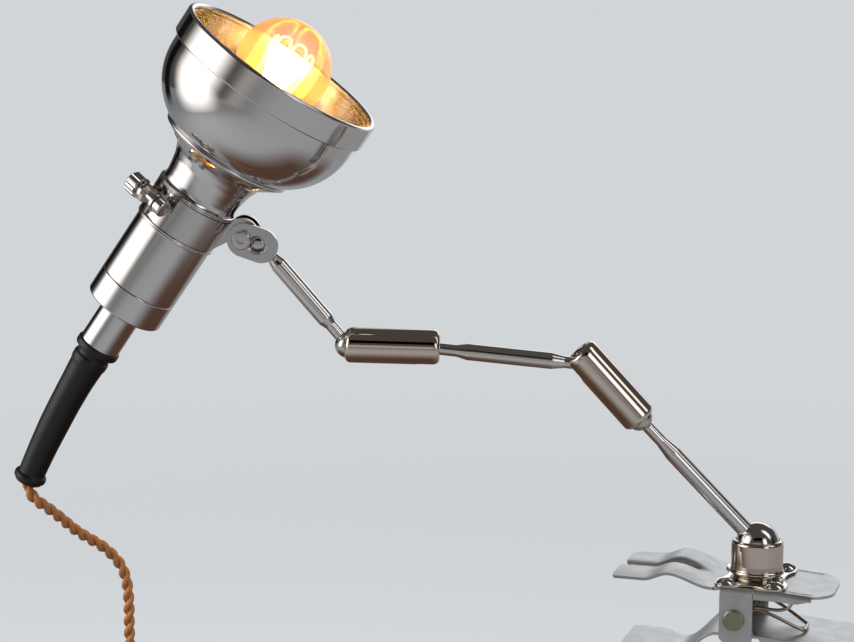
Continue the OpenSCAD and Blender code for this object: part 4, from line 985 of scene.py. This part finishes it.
# %% Strap bolt with its knob and round nut
def strap_knob():
    end, start, bolt_r, knob_r, knob_h, flute_count, flute_at = 10.2, -5.3, 1.95, 5.8, 9.2, 10, 6.3
    low = start - knob_h
    outline = [(0, end), (bolt_r - 0.25, end), (bolt_r, end - 0.4), (bolt_r, start), (3.4, start),
               (3.4, start - 1.6), (knob_r, start - 2.3), (knob_r, low + 0.7), (knob_r - 0.7, low), (0, low)]
    piece = turned("strap_knob_finished", outline, None, steps=120, edge=0.3)
    flutes = []
    for i in range(flute_count):
        around = 2 * math.pi * (i + 1) / flute_count
        centre = (flute_at * math.cos(around), flute_at * math.sin(around), start - 6.1)
        flutes.append(pin("flute", 1, 8.2, centre, sides=20))
    cut(piece, joined("flutes", *flutes))
    cut(piece, bar("slot", (14, 1, 2.4), (0, 0, low)))
    break_edges(piece, 0.15)
    return put(piece, bolt_line)


def strap_nut():
    low = 5.3
    outline = [(2, low), (3.6, low), (4.4, low + 0.6), (4.4, low + 4.7), (3.8, low + 5.4), (2, low + 5.4)]
    return turned("strap_nut_finished", outline, bolt_line, steps=80, closed=True, edge=0.3)


settle(strap_knob(), bolt_nickel, "strap_knob")
settle(strap_nut(), bolt_nickel, "strap_nut")
print("strap bolt made")


# %% [markdown]
# ## Bulb
# The globe is blown glass with a thin wall, so it is spun as a closed shell with an outside and an inside.
# Old filament bulbs hang one long wire in a cage round a glass stem. The wire here zigzags between an upper
# and a lower ring of hooks, and the light itself comes from a small lamp at its middle.

# %% Globe, screw cap and glass stem
globe_z, globe_r, glass_low = 88.8, 24, 44.5


def glass_outline(inset):
    throat = [(12.3 - inset, glass_low), (12.3 - inset, glass_low + 7), (12.9 - inset, glass_low + 14),
              (14.2 - inset, glass_low + 22)]
    return throat + arc((0, globe_z), globe_r - inset, -49, 90, 40)


def bulb_glass():
    outline = glass_outline(0) + glass_outline(0.8)[::-1]
    return turned("bulb_glass_finished", outline, head, edge=1.5)


def bulb_cap():
    low, cap_z, cap_r, turns, thread_pitch = 21, 24.5, 13.2, 4, 3.6
    outline = [(0, low), (3.2, low), (4.6, low + 1), (6, low + 1.4), (cap_r - 2.6, cap_z)]
    for i in range(turns):
        for inset, share in ((0.6, 0.1), (0.3, 0.3), (0, 0.5), (0, 0.6), (0.3, 0.8)):
            outline.append((cap_r - inset, cap_z + 0.6 + thread_pitch * (i + share)))
    outline += [(cap_r - 0.4, cap_z + 22), (12.4, cap_z + 22), (12.4, glass_low), (8, glass_low - 0.6),
                (8, low + 6), (0, low + 6)]
    return turned("bulb_cap_finished", outline, head, edge=0.3)


def glass_stem():
    top = globe_z - 14
    outline = [(0, glass_low - 0.4), (7.8, glass_low - 0.4), (4, glass_low + 5), (2.4, top - 4),
               (2.4, top - 0.8), (1.6, top), (0, top)]
    return turned("glass_stem", outline, head, steps=48, edge=1)


# %% Filament cage, and the whole bulb
def filament_cage():
    low, high, wires, reach = globe_z - 12, globe_z + 7, 18, 7.5
    path = []
    for i in range(wires + 1):
        around = 2 * math.pi * i / wires
        r, z = (reach, high) if i % 2 else (reach * 0.7, low)
        path.append(head @ Vector((r * math.cos(around), r * math.sin(around), z)))
    return wire("filament_cage", flowing(path, 1.5 * MM), 0.32 * MM, 8)


lit_glass = amber_glass(head, glass_low, globe_z + globe_r)
settle(bulb_glass(), lit_glass, "bulb_glass")
settle(bulb_cap(), nickel_plate(head), "bulb_cap")
settle(glass_stem(), lit_glass, "bulb_filament")
settle(filament_cage(), hot_filament(head), body="bulb")
print("bulb made")


# %% [markdown]
# The inner parts only show when the lamp is taken apart. Their mechanical shapes are right as they are, so
# they only get their finishes: glazed porcelain, brass, bronze and drawn steel.

# %% Finishes for the parts that keep their shape
def finish_node(material, *nodes):
    for name in nodes:
        node = frame["nodes"][name]
        node.data.materials.clear()
        node.data.materials.append(material)


finish_node(glazed_porcelain(head), "porcelain_base")
finish_node(pressed_brass(head), "screw_shell", "centre_contact", "terminal_screws")
finish_node(wire_jacket(head), "lead_wires")
finish_node(black_rubber(head), "cord_grip")
finish_node(turned_bronze(post), "turning_seat")
finish_node(spring_wire(post), "disc_springs")
finish_node(turned_bronze(low_coupling), "lower_seats")
finish_node(turned_bronze(high_coupling), "upper_seats")
finish_node(spring_wire(low_coupling), "lower_coupling_spring")
finish_node(spring_wire(high_coupling), "upper_coupling_spring")
print("inner parts finished")


# %% [markdown]
# ## Clamp
# The upper jaw, its two ears and the handle are one pressing. The flat jaw ends in two tongues with a valley
# pressed between them, and a wave behind them makes the jaw springy. A grid of points is laid over the
# plate's outline and lifted to that wave. Solidify then gives it the sheet's thickness.

# %% Sheet metal pressed from a grid
sheet, half_w, tip_x, plate_x, crease_x, handle_x = 1.5, 26, -9, 42, 76, 102
pin_x, pin_z, drop, slope, ear_low = 54, -16.5, 1.8, math.tan(math.radians(3.8)), 30.5
wave_from, wave_x, wave_h = 8, 20, 3.8


def ease(t):
    t = max(0, min(1, t))
    return t * t * (3 - 2 * t)


def upper_under(x):
    """Height of the upper plate's underside along the jaw and the handle."""
    if x < wave_x:
        return wave_h * ease((x - 7) / (wave_x - 7)) if x > wave_from else 0
    if x < plate_x:
        return wave_h - (wave_h + drop) * ease((x - wave_x) / (plate_x - wave_x))
    return -drop - max(0, x - crease_x) * slope


def pressed(name, rows, edge=0.4):
    """A sheet whose middle surface is the grid of points in rows."""
    width = len(rows[0])
    faces = [(i * width + j, (i + 1) * width + j, (i + 1) * width + j + 1, i * width + j + 1)
             for i in range(len(rows) - 1) for j in range(width - 1)]
    mesh = bpy.data.meshes.new(name)
    mesh.from_pydata([p for line in rows for p in line], [], faces)
    piece = linked(name, mesh)
    apply_modifier(piece, "SOLIDIFY", thickness=sheet, offset=0)
    in_edit_mode(piece, lambda: bpy.ops.mesh.normals_make_consistent(inside=False))
    break_edges(piece, edge, 50, 3)
    return piece


# %% Outline and waves of the upper plate
def front_line(y):
    """The jaw's front edge, with its corners and the notch between its two tongues."""
    notch = 4 * max(0, 1 - abs(y + 0.3) / 4.4)
    corner = 1 + 8 - math.sqrt(64 - (y - 18) ** 2) if y > 18 else ease(y / 6) + max(0, -24 - y) / 2
    return tip_x + notch + corner


def back_line(y):
    corner_r, straight = 18, 8
    return handle_x - corner_r + math.sqrt(corner_r**2 - max(0, abs(y) - straight) ** 2)


def plate_point(u, y):
    x = front_line(y) + u * (back_line(y) - front_line(y))
    crown_h, valley_w, crease_h, crease_w, fade_len, rim_step = 0.9, 3.4, 0.35, 0.8, 14, 2.6
    fade = ease((plate_x - x) / fade_len)
    crown = crown_h * math.cos(math.pi * (abs(y) - half_w / 2) / half_w) * fade
    valley = (crown_h + 0.62 * max(0, upper_under(x))) * math.exp(-((y + 0.5) / valley_w) ** 2) * fade
    crease = crease_h * math.exp(-((x - crease_x) / crease_w) ** 2)
    side = half_w - rim_step * (ease((x - 45.5) / 0.6) - ease((x - 93) / 2))
    return x, max(-side, min(side, y)), upper_under(x) + sheet / 2 + crown - valley - crease


# %% Ears and rims, bent down from the plate
side_y, bend_mid_r = -half_w + sheet / 2, 1.75


def bent_down(name, from_x, to_x, depth, steps):
    """A strip that leaves the plate's side, turns down over a round bend and hangs by its depth."""
    quarter = [math.radians(10 * k) for k in range(10)]
    bend = [(side_y + bend_mid_r * (1 - math.sin(a)), bend_mid_r * (math.cos(a) - 1)) for a in quarter]
    lines = []
    for x in [from_x + (to_x - from_x) * i / steps for i in range(steps + 1)]:
        top = upper_under(x) + sheet / 2
        section = [(-20, 0), (-22.5, 0), *bend, (side_y, -depth(x) - bend_mid_r)]
        lines.append([(x, y, top + z) for y, z in section])
    return pressed(name, lines, edge=0.35)


def mirrored(piece):
    twin = linked(piece.name, piece.data.copy())
    twin.data.transform(Matrix.Diagonal((1, -1, 1, 1)))
    in_edit_mode(twin, lambda: bpy.ops.mesh.flip_normals())
    return twin


def ear():
    """The ear on the camera's side, with its two lower corners cut off."""
    piece = bent_down("ear", pin_x - 7.4, pin_x + 9.4, lambda x: ear_low - drop - 0.2, 6)
    slanted = Matrix.Rotation(math.pi / 4, 4, "Y")
    return cut(piece, *[bar("corner", (8, 8, 8), (x, side_y, -ear_low), slanted) for x in (45, 65)])


# %% The whole upper plate
def clamp_plate():
    half_across, steps_along, rim_start, rim_end = 30, 140, 63.6, 92.5
    across = [-half_w + half_w * j / half_across for j in range(2 * half_across + 1)]
    along = [i / steps_along for i in range(steps_along + 1)]
    plate = pressed("clamp_plate", [[plate_point(u, y) for y in across] for u in along])
    near_ear = ear()
    near_rim = bent_down("rim", rim_start, rim_end, lambda x: 2.2 * ease((rim_end - x) / 9), 24)
    parts = (plate, near_ear, mirrored(near_ear), near_rim, mirrored(near_rim))
    return put(joined("upper_clamp_plate_finished", *parts), row)


sheet_zinc = zinc_plate(row)
settle(clamp_plate(), sheet_zinc, "upper_clamp_plate")
dressed("lower_lever", sheet_zinc, 0.35, 3)
print("clamp plates made")


# %% [markdown]
# The lever turns on a rivet. The torsion spring is one wire: its two straight ends press up under the
# handle, its turns lie round the rivet, and its bow presses down on the lever.

# %% Rivet
hinge = row @ Matrix.Translation((pin_x, 0, pin_z)) @ Matrix.Rotation(-math.pi / 2, 4, "X")
wire_r = 0.9


def rivet():
    out, head_r, head_h = half_w, 5.5, 1.6
    half = [(2.5, 0), (2.5, out), (head_r, out), (head_r, out + head_h - 0.6), (head_r - 0.8, out + head_h),
            (0, out + head_h)]
    outline = [(r, -z) for r, z in half[:0:-1]] + half[1:]
    return turned("pivot_pin_finished", outline, hinge, steps=96, edge=0.5)


settle(rivet(), passivated_zinc(hinge), "pivot_pin")
print("rivet made")


# %% Torsion spring
def lever_top(x):
    """Height of the lower lever's upper side, which the spring's bow rests on."""
    below_pin, bent_from = 7.6, pin_x + 12
    return pin_z - below_pin - max(0, x - bent_from) * slope


def spring_line():
    """Half of the spring, from its hook under the handle to the middle of its bow, and its mirror image."""
    coil_r, turns, pitch = 5, 2.5 + 1 / 6, 2.4
    start_y = half_w - 2 * sheet - 0.3 - 1.7
    end_y = start_y - turns * pitch
    hook_x, press_x = crease_x + 8, pin_x + 33
    bow_z = lever_top(press_x) + wire_r + 0.3
    half = [(hook_x, start_y, upper_under(hook_x) - wire_r - 0.3), (hook_x - 1.2, start_y, -drop - 4),
            (hook_x - 4, start_y, pin_z + 7.2), (pin_x + 9, start_y, pin_z + 6.2),
            (pin_x + 4, start_y, pin_z + 5.4)]
    for i in range(round(16 * turns) + 1):
        angle = math.radians(90 + 22.5 * i)
        x, z = pin_x + coil_r * math.cos(angle), pin_z + coil_r * math.sin(angle)
        half.append((x, start_y - pitch * i / 16, z))
    half += [(pin_x + 6.6, end_y - 0.6, pin_z + 1.2), (pin_x + 8.4, end_y - 1, pin_z + 3),
             (pin_x + 10, end_y - 1.4, pin_z + 2.9), (press_x - 2, 7, lever_top(press_x - 2) + wire_r + 1.1),
             (press_x - 0.3, 6, bow_z), (press_x, 4, bow_z)]
    whole = half + [(x, -y, z) for x, y, z in half[::-1]]
    return [row @ Vector(p) for p in whole]


spring = wire("clamp_spring_finished", flowing(spring_line(), 0.6 * MM), wire_r * MM, 14)
settle(spring, spring_wire(hinge), "clamp_spring")
print("spring", len(spring.data.polygons), "faces")


# %% [markdown]
# ## Switch, tie and plug
# These hang below the picture. The switch is brown phenolic in two halves with a rocker of cream urea plastic,
# the tie is a rubber band round the coil, and the plug is black moulded plastic with two nickelled pins.

# %% Switch
switch_place = row @ Matrix.Translation((drop_x, drop_y, (switch_top + switch_bottom) / 2))
phenolic = brown_phenolic(switch_place)
switch_base = dressed("switch_base", phenolic, 0.8, 3)
switch_cover = dressed("switch_cover", phenolic, 0.6, 3)
switch_rocker = dressed("switch_rocker", cream_urea(switch_place), 0.35, 3)
print("switch made")


# %% Tie and plug
plug_bottom, pin_pitch = plug_top - 40, 18.6
plug_place = row @ Matrix.Translation((tail_x, tail_y, plug_bottom))
coil_tie = dressed("coil_tie", black_rubber(plug_place), 0.4, 3)


def plug_grip():
    """The plug's body with three shallow grip grooves on each broad side."""
    lying = Matrix.Rotation(math.pi / 2, 4, "Y")
    places = [plug_place @ Vector((0, side * 7.1, 9 + 4 * k)) for side in (-1, 1) for k in range(3)]
    grooves = [pin("groove", 1.1 * MM, 20 * MM, at, lying, sides=20) for at in places]
    return cut(softened("plug_body", 1.2, 4), joined("grooves", *grooves))


def plug_pin(x):
    outline = [(0, -19), (0.9, -18.9), (1.7, -18.2), (2, -17.2), (2, 0), (1.5, 0), (1.5, 6), (0, 6)]
    return turned("plug_pin", outline, plug_place @ Matrix.Translation((x, 0, 0)), steps=48, edge=0.2)


plug_body = settle(plug_grip(), black_plastic(plug_place), "plug_body")
pins = joined("plug_pins_finished", plug_pin(-pin_pitch / 2), plug_pin(pin_pitch / 2))
plug_pins = settle(pins, plated_pins(plug_place), "plug_pins")
print("plug made")


# %% [markdown]
# The cord gets its finish and its body once all that sits on it exists. It replaces the four plain cord solids,
# and it moves with the head, because that is the part it comes out of.

cord.data.materials.append(cloth_cord())
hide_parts("cord_lead", "cord_drop", "cord_coil", "cord_tail")
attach(cord, body_of["cord_lead"])


# %% [markdown]
# ## Stage and light
# Polished metal shows its surroundings, so the surroundings are designed first. The pale backdrop is seen by
# the camera only, and lights nothing. Mirrors see a dark room instead, with soft cards in it: a large one at
# the upper left for the broad highlight, one at the right, one high at the right for the rods, a low band in
# front, pale paper behind and a warm brown below. The lamps that light the scene are kept out of the mirrors.

# %% Backdrop
paper = "#D1D5D8"
world = bpy.data.worlds.new("studio")
bpy.context.scene.world = world
world.use_nodes = True
tree = world.node_tree
rays = add(tree, "LightPath").outputs
seen = calc(tree, "MAXIMUM", rays["Is Camera Ray"], rays["Is Transmission Ray"])
ambient = blend(tree, rays["Is Glossy Ray"], colour("#8F9296"), colour("#4E4B49"))
tree.links.new(blend(tree, seen, ambient, colour(paper)), tree.nodes["Background"].inputs["Color"])
print("backdrop", paper)


# %% Floor
# Close to the lamp the floor takes its light and shadow; further out it fades into the backdrop's colour
floor_z, lit_to, faded_from, most_lit, mirrored_share = -0.32, 0.5, 2.4, 0.35, 0.25
floor = primitive("floor", bpy.ops.mesh.primitive_plane_add, (0, 0, floor_z), size=60)
paper_material, tree, shader = surface("pale_paper", paper, Roughness=0.95, Specular_IOR_Level=0.0,
                                       Emission_Color=colour(paper))
rays = add(tree, "LightPath").outputs
place_on_floor = add(tree, "TexCoord").outputs["Object"]
away = add(tree, "VectorMath", {0: place_on_floor}, operation="LENGTH").outputs["Value"]
near = ranged(tree, away, most_lit, 0.0, lit_to, faded_from, "SMOOTHSTEP")
lit = blend(tree, near, colour("#000000"), colour("#FFFFFF"))
tree.links.new(blend(tree, rays["Is Camera Ray"], colour("#8C8C8C"), lit), shader.inputs["Base Color"])
plain = calc(tree, "SUBTRACT", 1.0, near)
shown = calc(tree, "MULTIPLY", plain, rays["Is Camera Ray"])
glow_of_paper = calc(tree, "MULTIPLY_ADD", rays["Is Glossy Ray"], mirrored_share, shown)
tree.links.new(glow_of_paper, shader.inputs["Emission Strength"])
floor.data.materials.append(paper_material)
print("floor at", floor_z, "m")


# %% Cards
def card(name, code, strength, size, at, towards, soft):
    """A card that only mirrors can see, turned to face a point, with edges that fade out softly."""
    piece = primitive(name, bpy.ops.mesh.primitive_plane_add, at, size=1)
    piece.scale = (*size, 1)
    piece.rotation_euler = (Vector(towards) - Vector(at)).to_track_quat("Z", "Y").to_euler()
    material, tree, shader = surface(name, "#000000", Roughness=1.0, Specular_IOR_Level=0.0,
                                     Emission_Color=colour(code), Emission_Strength=strength)
    where = split(tree, add(tree, "TexCoord").outputs["Object"])
    fades = []
    for side in ("X", "Y"):
        out = calc(tree, "ABSOLUTE", where[side])
        fades.append(ranged(tree, out, 0.0, 1.0, 0.5, 0.5 - soft * 0.5, "SMOOTHSTEP"))
    tree.links.new(calc(tree, "MULTIPLY", *fades), shader.inputs["Alpha"])
    piece.data.materials.append(material)
    piece.visible_camera = piece.visible_diffuse = piece.visible_shadow = False
    piece.visible_transmission = False


# %% Soft lamps, and where cards and lamps stand
def area(name, at, towards, size, power, code="#FFFFFF"):
    data = bpy.data.lights.new(name, "AREA")
    data.shape, data.size, data.size_y, data.energy, data.color = "RECTANGLE", *size, power, colour(code)[:3]
    lamp = linked(name, data)
    lamp.location = at
    lamp.rotation_euler = (Vector(towards) - Vector(at)).to_track_quat("-Z", "Y").to_euler()
    lamp.visible_glossy = False


middle = (-0.05, -0.03, 0.14)
area("soft_key", (-1.3, -0.75, 0.9), middle, (0.9, 1.1), 20)
area("soft_fill", (0.9, -1.2, 1.1), middle, (1.2, 1.2), 9, "#F4F6FF")
area("top_light", (0.1, 0.3, 1.5), middle, (1.2, 1.2), 9)
card("left_softbox", "#FCF9F6", 2.6, (2.3, 2.3), (-1.38, -0.82, 0.55), middle, 0.9)
card("right_panel", "#F0F1F4", 1.9, (0.75, 1.3), (1.25, -0.95, 0.5), middle, 0.7)
card("front_band", "#D2CCC6", 0.75, (2.6, 0.6), (0.2, -1.6, 0.2), middle, 0.9)
card("right_high", "#F4F4F5", 2.2, (0.5, 1.5), (0.85, 0.0, 0.95), (-0.1, 0, 0.1), 0.8)
card("front_dark", "#040404", 0.1, (1.7, 0.6), (0.35, -1.4, 0.98), middle, 0.3)
card("back_paper", "#C9CCCF", 0.85, (3.4, 1.0), (-0.1, 1.7, 0.1), middle, 0.35)
card("back_high", "#F2F3F5", 1.7, (1.7, 0.85), (-0.05, 1.45, 0.62), middle, 0.6)
card("left_back_dark", "#15171B", 0.5, (0.5, 1.2), (-1.35, 0.45, 0.5), middle, 0.4)
card("right_dark", "#101113", 0.5, (0.4, 1.1), (1.55, 0.35, 0.3), middle, 0.5)
card("warm_brown_below", "#644C40", 0.8, (0.66, 0.6), (-0.2, 0.02, -0.045), (-0.2, 0.02, 0.5), 0.7)
print("cards and lamps placed")


# %% [markdown]
# The bulb is a light too. One small lamp sits in the filament, and a weak one stands for the light that is
# thrown about inside the neck until it leaves through the vents.

# %% Light of the bulb
def glow(name, at, power, radius_mm, body):
    """A small warm lamp that moves with a body."""
    data = bpy.data.lights.new(name, "POINT")
    data.energy, data.shadow_soft_size, data.color = power, radius_mm * MM, colour("#FFC068")[:3]
    lamp = linked(name, data)
    lamp.location = head @ Vector(at)
    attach(lamp, body)


towards_camera = head.inverted() @ camera.location
towards_camera.z = 0
near_side = 17.5 * towards_camera.normalized()
glow("filament_light", (0, 0, globe_z), 34.0, 6, "bulb")
glow("neck_light", (near_side.x, near_side.y, 37), 1.2, 2, body_of["vented_neck"])
print("bulb lit")
